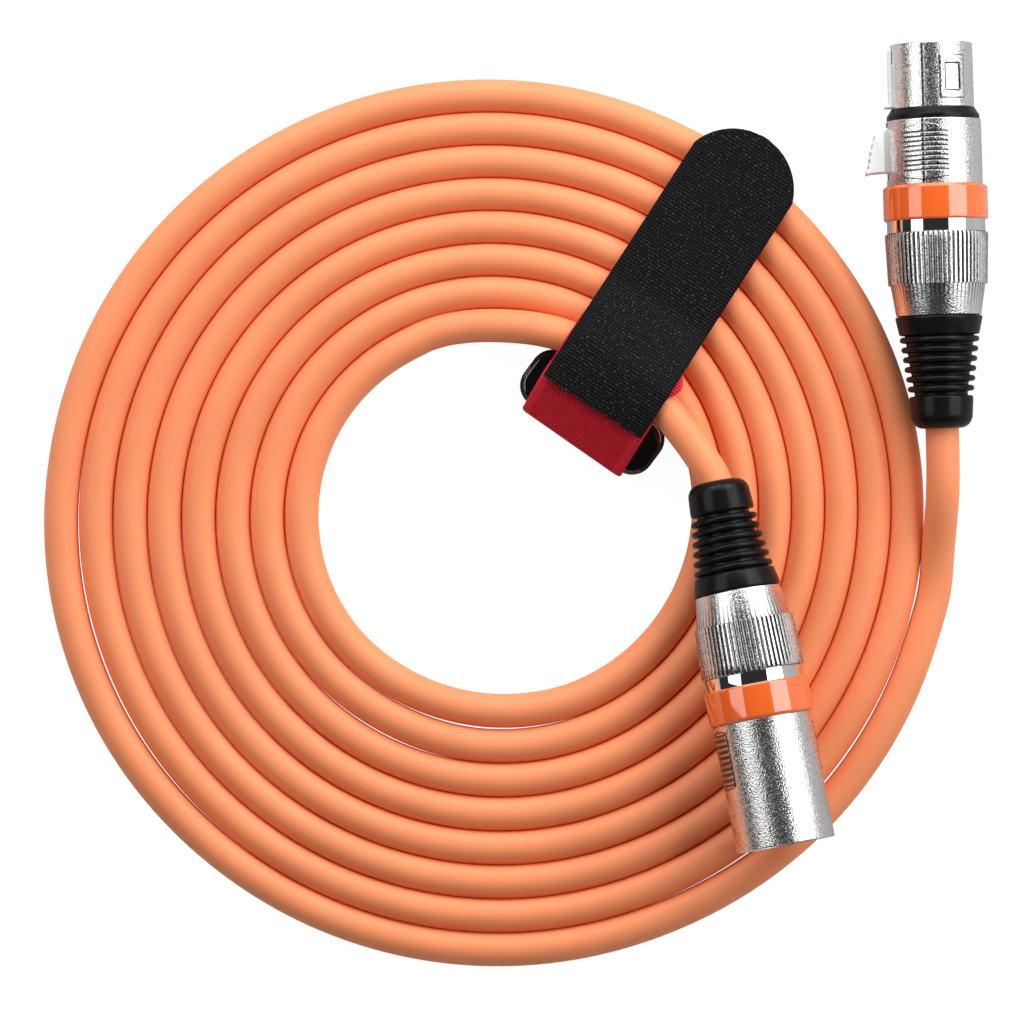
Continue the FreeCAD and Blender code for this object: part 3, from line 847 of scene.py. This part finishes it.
@dataclass
class FemaleConnector(Connector):
    """The connector with sockets, a nose and a latch."""

    body: float = 9.25
    nose: float = 8.0
    patch_angle: float = 73.8
    patch_half: float = 4.86
    patch_span: tuple[float, float] = (48.8, 58.3)
    first_ridge: float = 50.1
    ridge_pitch: float = 0.923
    ridges: int = 9
    patch_point: float = 1.1
    patch_rise: float = 0.07
    ridge_depth: float = 0.12
    seam_angle: float = 72.5
    seam_depth: float = 0.12
    seam_span: tuple[float, float] = (47.7, 74.8)
    window_angle: float = 115.6
    window_steps: Sequence[tuple[float, ...]] = (
        (0.11, 2.75, 64.0, 72.5, 0.2),
        (-0.26, 1.75, 65.4, 71.0, 0.3),
    )
    latch_width: float = 4.0
    latch_edge: float = 0.22
    tab_width: float = 5.6

    def relief(self, angle: np.ndarray, station: np.ndarray) -> np.ndarray:
        """The ridged grip patch, the framed window and the mould seam.

        A window step is its rise, half its width, where it starts and ends, and its slope.
        """
        x = angle_gap(angle, self.patch_angle) * self.body
        low, high = self.patch_span
        point = self.patch_point * (1 - np.abs(x) / self.patch_half)
        patch = inside(x, self.patch_half, station, low - 0.6 * point, high + point)
        phase = (station - self.first_ridge) / self.ridge_pitch + 0.5
        row = (phase > 0) & (phase < self.ridges)
        wide = 0.2 + 0.08 * np.clip(x / self.patch_half, -1, 1)
        line = peak(phase % 1 - 0.5, wide) * row
        line = line * step_up(self.patch_half - 0.3 - np.abs(x))
        height = patch * (self.patch_rise - self.ridge_depth * line)
        side = angle_gap(angle, self.window_angle) * self.nose
        for rise, half, low, high, slope in self.window_steps:
            height = height + rise * inside(side, half, station, low, high, slope)
        seam = angle_gap(angle, self.seam_angle) * self.body
        line = peak(seam, 0.2)
        line = line * (station > self.seam_span[0]) * (station < self.seam_span[1])
        return height - self.seam_depth * line

    def shell(self) -> None:
        """The housing, with its slot for the latch and its keyway cut."""
        outline = [(8.35, 30.5), (8.35, 38.2), (8.5, 38.2), (8.5, 47.5), (self.body, 47.5, 0.1)]
        outline += [(self.body, 60.2, 0.25), (7.6, 60.2), (7.6, 62.45), (self.nose, 62.5, 0.1)]
        outline += [(self.nose, 75.1, 0.3), (7.1, 75.1, 0.15), (7.1, 30.5)]
        dense = divided(rounded(outline), (47.5, 75.1), 0.1)
        made = lathe("female_housing", dense, self.place(), RELIEF_AROUND, self.relief)
        slot = self.cutter((2, -2.2, 48.6), (12, 2.2, 71.0))
        keyway = self.cutter((-1.1, -12, 67.1), (1.1, 0, 76.1))
        carve(made, [slot, keyway])
        settle(made, "root", NICKEL, "shell", "female_shell")

    def cutter(self, low: Sequence[float], high: Sequence[float]) -> Thing:
        """A box between two corners of the connector's space."""
        corners = ((low[0], low[2]), (high[0], low[2]), (high[0], high[2]), (low[0], high[2]))
        points, faces = plate(corners, high[1] - low[1])
        points[:, 1] += (low[1] + high[1]) / 2
        return add_mesh("cutter", points, faces, self.place())

    def nose_ring(self) -> None:
        """Rubber ring between body and nose, flared towards the body."""
        outline = [(7.62, 60.22), (9.0, 60.22, 0.25), (8.95, 61.1, 0.5), (8.3, 62.1, 0.5)]
        outline += [(8.1, 62.5, 0.1), (7.62, 62.5)]
        made = lathe("female_flared_ring", rounded(outline), self.place(), 192)
        settle(made, "root", RING_RUBBER, "boot_rubber", "female_nose_ring")

    def latch(self) -> None:
        """Lever with a thumb tab whose edge is ribbed, and its hook at the nose."""
        bar = [(6.2, 48.9), (8.1, 48.9), (8.6, 50.0), (9.9, 50.2), (9.9, 58.4), (8.9, 59.0)]
        bar += [(7.3, 59.6), (7.3, 62.75), (9.35, 62.8), (9.3, 63.2), (8.5, 63.6), (8.45, 73.3)]
        bar += [(8.2, 74.2), (7.9, 74.3), (7.9, 71.2), (6.8, 70.4), (6.2, 62.0)]
        tab = [(9.8, 50.2), (12.6, 50.05), (12.9, 49.75), (13.35, 49.95), (13.3, 50.6)]
        tab += [(12.75, 51.0), (12.95, 51.6), (12.55, 52.2), (12.75, 53.0), (12.3, 53.6)]
        tab += [(12.45, 54.4), (11.95, 55.0), (12.05, 55.9), (11.6, 56.5), (11.55, 57.4)]
        tab += [(11.0, 58.1), (9.8, 58.4)]
        pieces = (("bar", bar, self.latch_width, "female_latch"), ("tab", tab, self.tab_width))
        for label, outline, width, *nodes in pieces:
            points, faces = plate(outline, width)
            part = add_mesh("female_latch_" + label, points, faces, self.place())
            soften(part, self.latch_edge)
            settle(part, "latch", LATCH_STEEL, "latch_metal", *nodes)

    def build(self) -> None:
        """Make every piece of the female connector."""
        super().build()
        self.shell()
        self.nose_ring()
        self.latch()
        dress("female_sockets", CONTACT)
        dress("female_latch_pin", LATCH_STEEL)
        dress("female_latch_spring", LATCH_STEEL)


@dataclass
class MaleConnector(Connector):
    """The connector with a deep barrel and three pins."""

    barrel: float = 9.55
    patches: tuple[float, float] = (160.5, 350.0)
    patch_half: float = 3.2
    patch_span: tuple[float, float] = (49.0, 59.4)
    patch_bow: float = 0.5
    patch_depth: float = 0.2
    margin: float = 0.2
    ridges: int = 9
    ridge_rise: float = 0.34

    def relief(self, angle: np.ndarray, station: np.ndarray) -> np.ndarray:
        """Two framed patches of rounded ridges."""
        low, high = self.patch_span
        height = np.zeros_like(angle)
        for centre in self.patches:
            x = angle_gap(angle, centre) * self.barrel
            bow = self.patch_bow * (1 - (x / self.patch_half) ** 2)
            patch = inside(x, self.patch_half, station, low - bow, high + bow)
            phase = (station - low - self.margin) / (high - low - 2 * self.margin) * self.ridges
            ridge = np.sqrt(np.clip(np.sin(math.pi * (phase % 1)), 0, 1))
            ridge = ridge * (station > low + self.margin) * (station < high - self.margin)
            ridge = ridge * step_up(self.patch_half - self.margin - np.abs(x))
            height = height + patch * (self.ridge_rise * ridge - self.patch_depth)
        return height

    def shell(self) -> None:
        """The barrel."""
        outline = [(8.35, 30.5), (8.35, 38.2), (8.5, 38.2), (8.5, 47.5), (self.barrel, 47.5, 0.1)]
        outline += [(self.barrel, 72.3, 0.22), (8.75, 72.3, 0.1), (8.75, 68.1), (8.2, 68.1)]
        outline += [(8.2, 52.5), (7.1, 52.5), (7.1, 30.5)]
        dense = divided(rounded(outline), (47.5, 72.3), 0.14)
        made = lathe("male_barrel", dense, self.place(), RELIEF_AROUND, self.relief)
        settle(made, "root", NICKEL, "shell", "male_shell")

    def build(self) -> None:
        """Make every piece of the male connector."""
        super().build()
        self.shell()
        dress("male_pins", CONTACT)


# The lead


@dataclass
class Lead:
    """The cable: a tail from each boot and the coil of just under eight turns between them."""

    female: Pose
    male: Pose
    diameter: float = 6.5
    radius: float = 87.5
    pitch: float = 6.58
    squash: float = 0.99
    drift: float = 0.85
    start: float = 14.5
    end: float = 2762.0
    full_angle: float = 2790.0
    height: float = 3.22
    points_per_turn: int = 48
    hump: float = 0.95
    hump_reach: float = 9.0
    hump_slope: float = 7.5
    strap_angle: float = 57.1
    strap_shift: float = 4.9
    strap_half: float = 11.25
    outer_tail: Sequence[tuple[float, float, float]] = ((87.3, 2.4, 8.7), (86.7, -7.2, 4.6))
    run_out: float = 7.2
    run_in: float = 5.6
    reach_in: float = 5.0
    inner_tail: Sequence[tuple[float, float, float]] = (
        (-5.0, 36.8, 3.8),
        (2.6, 36.8, 5.4),
        (10.6, 35.9, 7.0),
        (18.4, 33.2, 8.2),
        (25.0, 29.4, 9.1),
        (29.7, 25.0, 9.9),
        (33.2, 20.6, 11.0),
        (36.1, 16.9, 11.7),
        (38.9, 13.2, 12.2),
        (41.3, 9.6, 12.7),
    )
    slack: Sequence[tuple[float, float, float]] = (
        (40.0, 25.0, 0.3),
        (160.0, 28.0, 0.25),
        (2623.0, 34.0, -0.32),
        (2278.0, 16.0, -0.2),
    )

    def flat_point(self, clock: float) -> Vector:
        """The coil's centre line after clock degrees, clockwise from +X."""
        turn = math.radians(clock)
        radius = self.radius - self.pitch * clock / 360 + self.eased(clock)
        shift = self.drift * clock / self.full_angle
        x = shift + radius * math.cos(turn)
        y = shift - self.squash * radius * math.sin(turn)
        return Vector((x, y, self.height))

    def eased(self, clock: float) -> float:
        """How far a turn has slipped outwards from its neighbour."""
        return sum(
            size * max(1 - ((clock - middle) / half) ** 2, 0) for middle, half, size in self.slack
        )

    def fullness(self, clock: float) -> float:
        """The cable's thickness there, as a share, where it lies against the next turn."""
        gap = (self.flat_point(clock) - self.flat_point(clock + 360)).length
        slip = self.eased(clock) - self.eased(clock + 360)
        return min(max((gap - slip + 0.01) / self.diameter, 0.985), 1.03)

    def coil_point(self, clock: float) -> Vector:
        """The same, raised where the cable lies on the strap."""
        point = self.flat_point(clock)
        angle = math.radians(self.strap_angle)
        reach = point.x * math.cos(angle) + point.y * math.sin(angle)
        across = point.x * math.sin(angle) - point.y * math.cos(angle)
        away = abs(across - self.strap_shift) - self.strap_half
        if reach > 0:
            share = min(max((self.hump_reach - away) / self.hump_slope, 0), 1)
            point.z += self.hump * share * share * (3 - 2 * share)
        return point

    def way(self, clock: float) -> Vector:
        """The cable's direction there."""
        return (self.flat_point(clock + 0.01) - self.flat_point(clock - 0.01)).normalized()

    def clocks(self) -> list[float]:
        """Where the coil's control points are, in clock degrees."""
        count = round((self.end - self.start) / 360 * self.points_per_turn)
        step = (self.end - self.start) / count
        return [self.start + step * index for index in range(count + 1)]

    def route(self) -> list[Vector]:
        """The cable's control points, from the female boot to the male one."""
        mouth = Vector(self.female.mouth)
        start = self.flat_point(self.start)
        points = [mouth, mouth - self.female.forward() * self.run_out]
        points += [Vector(point) for point in self.outer_tail]
        points.append(start - self.way(self.start) * self.run_out)
        points += [self.coil_point(clock) for clock in self.clocks()]
        points.append(points[-1] + self.way(self.end) * self.run_in)
        points += [Vector(point) for point in self.inner_tail]
        last = Vector(self.male.mouth)
        points += [last, last + self.male.forward() * self.reach_in]
        return points

    def build(self) -> None:
        """Lay the cable as one smooth spline."""
        curve = bpy.data.curves.new("lead_cable", "CURVE")
        curve.dimensions = "3D"
        curve.bevel_depth = self.diameter / 2 * MM
        curve.bevel_resolution = 9
        curve.resolution_u = 5
        curve.use_fill_caps = True
        spline = curve.splines.new("NURBS")
        points = self.route()
        spline.points.add(len(points) - 1)
        for spot, point in zip(spline.points, points):
            spot.co = (*(point * MM), 1)
        coil = points.index(self.coil_point(self.start))
        for index, clock in enumerate(self.clocks()):
            spline.points[coil + index].radius = self.fullness(clock)
        spline.order_u = 3
        spline.use_endpoint_u = True
        spline.use_smooth = True
        thing = add_object("lead_cable", curve)
        nodes = ("cable_coil", "cable_tail_outer", "cable_tail_inner")
        settle(thing, "root", JACKET, "jacket", *nodes)


# The strap


@dataclass
class Strap:
    """Hook-and-loop strap across the bundle: red loop tape, black hook tape, buckle and seam."""

    angle: float = 57.1
    shift: float = 4.9
    width: float = 22.5
    red: float = 0.9
    black: float = 1.0
    tip: float = 90.1
    tip_radius: float = 11.9
    tilt: float = 2.4
    tilt_reach: float = 36.5
    tilt_half: float = 15.0
    fold_turn: float = 0.036
    ragged: float = 0.22
    skew: float = 0.045
    skew_reach: float = 28.0
    corner_reach: float = 40.0
    corner_half: float = 2.2
    corner_out: float = 1.3
    buckle_shift: float = 5.5
    buckle_half: float = 15.3
    buckle_turn: float = -3.8
    buckle_span: tuple[float, float] = (21.3, 33.4)
    buckle_bars: tuple[float, float] = (2.2, 2.4)
    buckle_sides: tuple[float, float] = (5.3, 5.2)
    buckle_round: float = 4.4
    buckle_z: tuple[float, float] = (1.1, 3.3)
    stitch_count: int = 10
    stitch_reach: float = 35.6
    stitch_floor: float = 2.02
    stitch_half: float = 0.62
    stitch_thick: float = 0.15
    red_route: Outline = (
        (36.5, 1.55), (34.7, 1.55, 0.6), (34.2, 4.0, 0.6), (30.4, 4.0, 0.9),
        (29.9, 0.5, 0.9), (85.9, 0.5, 2.2), (85.9, 7.8, 2.4), (50.5, 7.8, 6.0),
        (43.6, 11.2, 6.0), (38.2, 12.9, 4.5), (33.4, 11.2, 4.0), (28.2, 0.5, 1.2),
        (20.35, 0.5, 1.2), (20.35, 5.2, 2.0), (26.6, 11.0, 4.0), (31.2, 12.5),
    )
    black_route: Outline = (
        (28.0, 12.95), (33.2, 14.0, 8.0), (38.2, 14.2, 6.0), (44.4, 12.2, 7.0),
        (51.3, 8.85, 8.0), (90.1, 8.7),
    )

    def place(self) -> Matrix:
        """Local X runs out along the strap, and local Y to its left."""
        return Matrix.Rotation(math.radians(self.angle), 4, "Z")

    def spine(self, route: Outline, step: float = 0.5) -> tuple[np.ndarray, np.ndarray]:
        """Even points along a route in the strap's plane.

        Args:
            route: Open route of (reach, height), with an optional corner radius.
            step: Distance between points.

        Returns:
            The points, and how far along the tape each one is.
        """
        ends = [(*route[0][:2],), *route[1:-1], (*route[-1][:2],)]
        points = np.array(rounded(ends, 12))
        gaps = np.hypot(*np.diff(points, axis=0).T)
        keep = np.concatenate([[True], gaps > 1e-6])
        points = points[keep]
        along = np.concatenate([[0], np.cumsum(np.hypot(*np.diff(points, axis=0).T))])
        marks = np.linspace(0, along[-1], int(along[-1] / step) + 1)
        even = np.stack([np.interp(marks, along, points[:, axis]) for axis in (0, 1)], axis=-1)
        return even, marks

    def lift(self, reach: np.ndarray, across: np.ndarray, height: np.ndarray) -> np.ndarray:
        """How much the tapes tilt where they ride over the cable's tail."""
        share = peak(reach - self.tilt_reach, self.tilt_half)
        share = share * share * (3 - 2 * share) * np.clip((height - 5) / 5, 0, 1)
        return self.tilt * share * (across + self.shift) / self.width * -1

    def ribbon(
        self,
        name: str,
        route: Outline,
        thickness: float,
        half: Callable[[float], float],
        ragged: float = 0.0,
    ) -> tuple[Thing, float]:
        """A tape with rounded edges along a route.

        Args:
            name: The object's name.
            route: The middle of the tape in the strap's plane.
            thickness: The tape's thickness.
            half: Half the tape's width at a reach.
            ragged: How uneven its cut start is.

        Returns:
            The tape and its length.
        """
        spine, marks = self.spine(route)
        tangent = np.gradient(spine, axis=0)
        tangent /= np.linalg.norm(tangent, axis=1)[:, None]
        normal = np.stack([-tangent[:, 1], tangent[:, 0]], axis=-1)
        side = 1 - (1 - np.linspace(0, 1, 19)) ** 1.4
        top = np.concatenate([-side[::-1], side[1:]])
        loop = [(t, self.edge(t)) for t in top] + [(t, -self.edge(t)) for t in top[::-1][1:-1]]
        share, rise = np.array(loop).T[:, None, :]
        rise = rise * thickness / 2
        halves = np.array([half(reach) for reach in spine[:, 0]])[:, None]
        across = share * halves + self.stray(spine, share)
        rough = np.random.default_rng(7).normal(0, ragged, share.shape) * (marks[:, None] < 0.3)
        askew = self.fold_turn * across * np.clip((self.skew_reach - spine[:, 0:1]) / 8, 0, 1)
        reach = spine[:, 0:1] + normal[:, 0:1] * rise + rough + askew
        height = spine[:, 1:2] + normal[:, 1:2] * rise
        height = height + self.lift(spine[:, 0:1], across - self.shift, spine[:, 1:2])
        points = np.stack([reach + 0 * across, across - self.shift, height + 0 * across], axis=-1)
        count = share.shape[1]
        last = (len(spine) - 1) * count
        faces = ring_faces(len(spine), count, False)
        faces += [list(range(count)), list(range(last, last + count))]
        thing = add_mesh(name, points.reshape(-1, 3), faces, self.place(), TAPE_SHARP_ANGLE)
        weave = thing.data.attributes.new("tape", "FLOAT_VECTOR", "POINT")
        flat = np.stack([marks[:, None] + 0 * across, across, 0 * across], axis=-1)
        weave.data.foreach_set("vector", flat.reshape(-1).astype(np.float32))
        return thing, float(marks[-1])

    def stray(self, spine: np.ndarray, share: np.ndarray) -> np.ndarray:
        """How far a tape strays sideways: askew at the buckle, with a corner that sticks out.

        Args:
            spine: The tape's middle line, as reach and height.
            share: Where a point is across the tape, from -1 to 1.

        Returns:
            The sideways shift of each point.
        """
        reach = spine[:, 0:1]
        height = spine[:, 1:2]
        skew = -self.skew * np.clip(self.skew_reach - reach, 0, None)
        top = (height > 8) * (height < 12.95)
        corner = np.sqrt(peak(reach - self.corner_reach, self.corner_half)) * top
        return skew - self.corner_out * corner * np.clip((-share - 0.86) / 0.14, 0, 1)

    def edge(self, share: float) -> float:
        """How thick the tape is near its edge, from 0 to 1."""
        return (1 - abs(share) ** 40) ** 0.5 * (1 - 0.12 * (abs(share) > 0.93))

    def loop_tape(self) -> None:
        """Red tape round the bundle and the buckle's bars."""
        thing, length = self.ribbon("red_loop_tape", self.red_route, self.red, self.loop_half)
        settle(thing, "root", RED_TAPE, "red_tape", "strap_loop_tape")

    def loop_half(self, reach: float) -> float:
        """Half the loop tape's width: wider near the buckle, drawn in at the outer bend."""
        extra = 0.42 * min(max((44 - reach) / 16, 0), 1) ** 0.5
        tuck = 0.45 * min(max(reach / 15 - 4, -2), 1)
        return min(self.width / 2 + extra, self.tip_half(reach + 0.6) - tuck)

    def tip_half(self, reach: float) -> float:
        """Half the hook tape's width near its round tip."""
        beyond = reach - (self.tip - self.tip_radius)
        if beyond <= 0:
            return self.width / 2
        left = max(self.tip_radius**2 - min(beyond, self.tip_radius - 0.02) ** 2, 0)
        return min(self.width / 2, math.sqrt(left))

    def hook_tape(self) -> None:
        """Black tape over the red one, with its round tip."""
        thing, length = self.ribbon(
            "black_hook_tape", self.black_route, self.black, self.tip_half, self.ragged
        )
        settle(thing, "hook_tape", BLACK_TAPE, "black_tape", "strap_hook_tape")

    def frame_line(
        self, low: Sequence[float], high: Sequence[float], grow: float, radius: float, height: float
    ) -> list[tuple[float, float, float]]:
        """A rounded rectangle at a height.

        Args:
            low: Its lowest reach and its right side.
            high: Its highest reach and its left side.
            grow: How far it is set outwards.
            radius: Its corners' radius before that.
            height: Its height.

        Returns:
            Its points, the same number for every rectangle.
        """
        reach = max(radius + grow, 0.05)
        low = [value - grow + reach for value in low]
        high = [value + grow - reach for value in high]
        line = []
        for quarter, centre in enumerate((high, (low[0], high[1]), low, (high[0], low[1]))):
            turns = (90 * quarter, 90 * quarter + 90)
            line += [(*point, height) for point in arc(centre, (reach, reach), turns, 9)]
        return line

    def buckle(self) -> None:
        """Rectangular ring with a broad side, a stepped rim and rounded edges."""
        floor, top = self.buckle_z
        outer_low = (self.buckle_span[0], -self.buckle_shift - self.buckle_half)
        outer_high = (self.buckle_span[1], -self.buckle_shift + self.buckle_half)
        inner_low = (outer_low[0] + self.buckle_bars[0], outer_low[1] + self.buckle_sides[0])
        inner_high = (outer_high[0] - self.buckle_bars[1], outer_high[1] - self.buckle_sides[1])
        rim = [(-0.5, floor), (-0.12, floor + 0.15), (0, floor + 0.5), (0, top - 0.95)]
        rim += [(-0.1, top - 0.75), (-0.42, top - 0.55), (-0.5, top - 0.5), (-0.56, top - 0.3)]
        rim += [(-0.8, top - 0.08), (-1.1, top)]
        lip = [(0.55, top), (0.25, top - 0.08), (0.05, top - 0.3), (0, top - 0.6), (0, floor + 0.5)]
        lip += [(0.12, floor + 0.15), (0.45, floor)]
        rings = [
            self.frame_line(outer_low, outer_high, grow, self.buckle_round, z) for grow, z in rim
        ]
        rings += [self.frame_line(inner_low, inner_high, grow, 1.0, z) for grow, z in lip]
        faces = ring_faces(len(rings), len(rings[0]), True)
        points = np.array([point for ring in rings for point in ring])
        centre = Vector((sum(self.buckle_span) / 2, -self.buckle_shift, 0))
        turned = Matrix.Rotation(math.radians(self.buckle_turn), 4, "Z")
        place = self.place() @ Matrix.Translation(centre) @ turned @ Matrix.Translation(-centre)
        thing = add_mesh("buckle_ring", points, faces, place)
        settle(thing, "root", BUCKLE_BLACK, "buckle", "strap_buckle")

    def stitches(self) -> None:
        """A row of short thread stitches along the seam."""
        points, faces = [], []
        rings, around = 7, 8
        pitch = (self.width - 3) / self.stitch_count
        for stitch in range(self.stitch_count):
            middle = -self.shift - self.width / 2 + 2.4 + pitch * stitch
            for ring in range(rings):
                t = ring / (rings - 1) * 2 - 1
                height = self.stitch_floor + 0.16 * (1 - t * t)
                thick = self.stitch_thick * math.sqrt(max(1 - t**4, 0.02))
                for spot in range(around):
                    turn = 2 * math.pi * spot / around
                    x = self.stitch_reach + thick * math.cos(turn)
                    z = height + thick * math.sin(turn)
                    points.append((x, middle + t * self.stitch_half, z))
            faces += ring_faces(rings, around, False, stitch * rings * around)
        thing = add_mesh("seam_stitches", np.array(points), faces, self.place())
        settle(thing, "root", RED_THREAD, "red_tape", "strap_stitches")

    def build(self) -> None:
        """Make every piece of the strap."""
        self.loop_tape()
        self.hook_tape()
        self.buckle()
        self.stitches()


# The studio


@dataclass
class Studio:
    """Pale floor, two long soft lights, a soft light beyond +Y, and the camera overhead."""

    aim: tuple[float, float] = (3.8, 0.49)
    subject: tuple[float, float, float] = (70.0, 5.0, 12.0)
    distance: float = 1000.0
    view_width: float = 200.3
    lamp_distance: float = 0.75
    film: float = 36.0
    floor_half: float = 2.5
    floor_z: float = -0.0001
    floor_tone: float = 0.9
    floor_glow: float = 1.12
    floor_reflected: float = 0.1
    floor_seen_share: float = 0.86
    floor_mirrored_share: float = 0.5
    right_level: float = 3.2
    left_level: float = 2.0
    top_level: float = 3.3
    low_level: float = 0.5
    dark_level: float = 0.03
    right_span: tuple[float, float] = (0.5, 0.85)
    ends_span: tuple[float, float] = (0.45, 0.8)
    low_span: tuple[float, float] = (0.3, 0.5)
    strip_shift: float = 0.64

    def floor(self) -> None:
        """The floor: near white to the camera, darker in reflections, and it keeps the shadow."""
        mesh = bpy.data.meshes.new("studio_floor")
        half = self.floor_half
        corners = ((-half, -half), (half, -half), (half, half), (-half, half))
        mesh.from_pydata([(*corner, self.floor_z) for corner in corners], [], [(0, 1, 2, 3)])
        material = bpy.data.materials.new("studio_floor")
        graph = Graph(material)
        tone = self.floor_tone
        paper = graph.read(
            "ShaderNodeBsdfDiffuse", 0, sockets={"Color": (tone, tone, tone, 1), "Roughness": 0.5}
        )
        white, grey = [
            graph.read("ShaderNodeEmission", 0, sockets={"Color": (1, 1, 1, 1), "Strength": level})
            for level in (self.floor_glow, self.floor_reflected)
        ]
        path = graph.node("ShaderNodeLightPath")
        seen = Signal(graph, path.outputs["Is Camera Ray"])
        mirrored = Signal(graph, path.outputs["Is Glossy Ray"])
        dimming = mirrored * self.floor_mirrored_share
        dimmed = graph.read("ShaderNodeMixShader", 0, sockets={0: dimming, 1: paper, 2: grey})
        showing = seen * self.floor_seen_share
        mixed = graph.read("ShaderNodeMixShader", 0, sockets={0: showing, 1: dimmed, 2: white})
        graph.node("ShaderNodeOutputMaterial", sockets={"Surface": mixed})
        mesh.materials.append(material)
        add_object("studio_floor", mesh)

    def light(
        self,
        name: str,
        angles: tuple[float, float],
        length: float,
        level: float,
        turn: float,
        shift: float = 0.0,
    ) -> None:
        """A rectangular soft light that faces the connectors.

        Args:
            name: The light's name.
            angles: Where it begins and ends, in degrees down from straight above.
            length: Its length, in metres.
            level: How bright it looks, as a radiance.
            turn: Which way it lies from the object, in degrees round from +X.
            shift: How far it is moved towards +Y, in metres.
        """
        middle = math.radians(sum(angles) / 2)
        half = math.radians(angles[1] - angles[0]) / 2
        reach = self.lamp_distance
        lamp = bpy.data.lights.new(name, "AREA")
        lamp.shape = "RECTANGLE"
        lamp.size = length
        lamp.size_y = 2 * reach * math.tan(half)
        lamp.energy = level * math.pi * lamp.size * lamp.size_y
        out = Vector((math.cos(math.radians(turn)), math.sin(math.radians(turn)), 0))
        toward = out * math.sin(middle) + Vector((0, 0, math.cos(middle)))
        thing = add_object(name, lamp)
        thing.location = Vector(self.subject) * MM + toward * reach + Vector((0, shift, 0))
        thing.rotation_mode = "QUATERNION"
        thing.rotation_quaternion = (-toward).to_track_quat("-Z", "Y")
        LOG.info("%s at radiance %.2f", name, level)

    def world(self) -> None:
        """A dark room that is grey low down on the right and beyond both ends."""
        world = bpy.data.worlds.new("studio")
        graph = Graph(world)
        way = graph.read("ShaderNodeTexCoord", "Generated")
        right = graph.part(way, "X").between(*self.right_span)
        ends = abs(graph.part(way, "Y")).between(*self.ends_span)
        low = 1 - abs(graph.part(way, "Z")).between(*self.low_span)
        level = (right + ends) * low * self.low_level + self.dark_level
        colour = graph.read("ShaderNodeCombineColor", 0, sockets={0: level, 1: level, 2: level})
        glow = graph.read("ShaderNodeBackground", 0, sockets={"Color": colour, "Strength": 1.0})
        graph.node("ShaderNodeOutputWorld", sockets={"Surface": glow})
        bpy.context.scene.world = world

    def camera(self) -> None:
        """Straight down, with the photograph's frame."""
        lens = bpy.data.cameras.new("overhead")
        lens.sensor_width = self.film
        lens.lens = self.film * self.distance / self.view_width
        lens.clip_start = 0.01
        lens.clip_end = 20
        thing = add_object("overhead", lens)
        thing.location = (self.aim[0] * MM, self.aim[1] * MM, self.distance * MM)
        bpy.context.scene.camera = thing

    def build(self) -> None:
        """Set the stage."""
        self.floor()
        self.light("strip_right", (26, 68), 1.5, self.right_level, 0, self.strip_shift)
        self.light("strip_left", (35, 65), 1.5, self.left_level, 180, self.strip_shift)
        self.light("panel_far", (38, 72), 0.9, self.top_level, 90)
        self.world()
        self.camera()
        bpy.context.scene.view_settings.view_transform = "Standard"


def main() -> None:
    """Build the object and its studio."""
    logging.basicConfig(level=logging.INFO, format="%(message)s")
    female = Pose((87.1, 16.7, 10.1), -1.7, 0.0, 0.99)
    male = Pose((43.3, 6.34, 12.99), 169.4, 4.9, 0.985)
    Lead(female, male).build()
    FemaleConnector("female", female).build()
    MaleConnector("male", male).build()
    Strap().build()
    Studio().build()


if __name__ == "__main__":
    main()
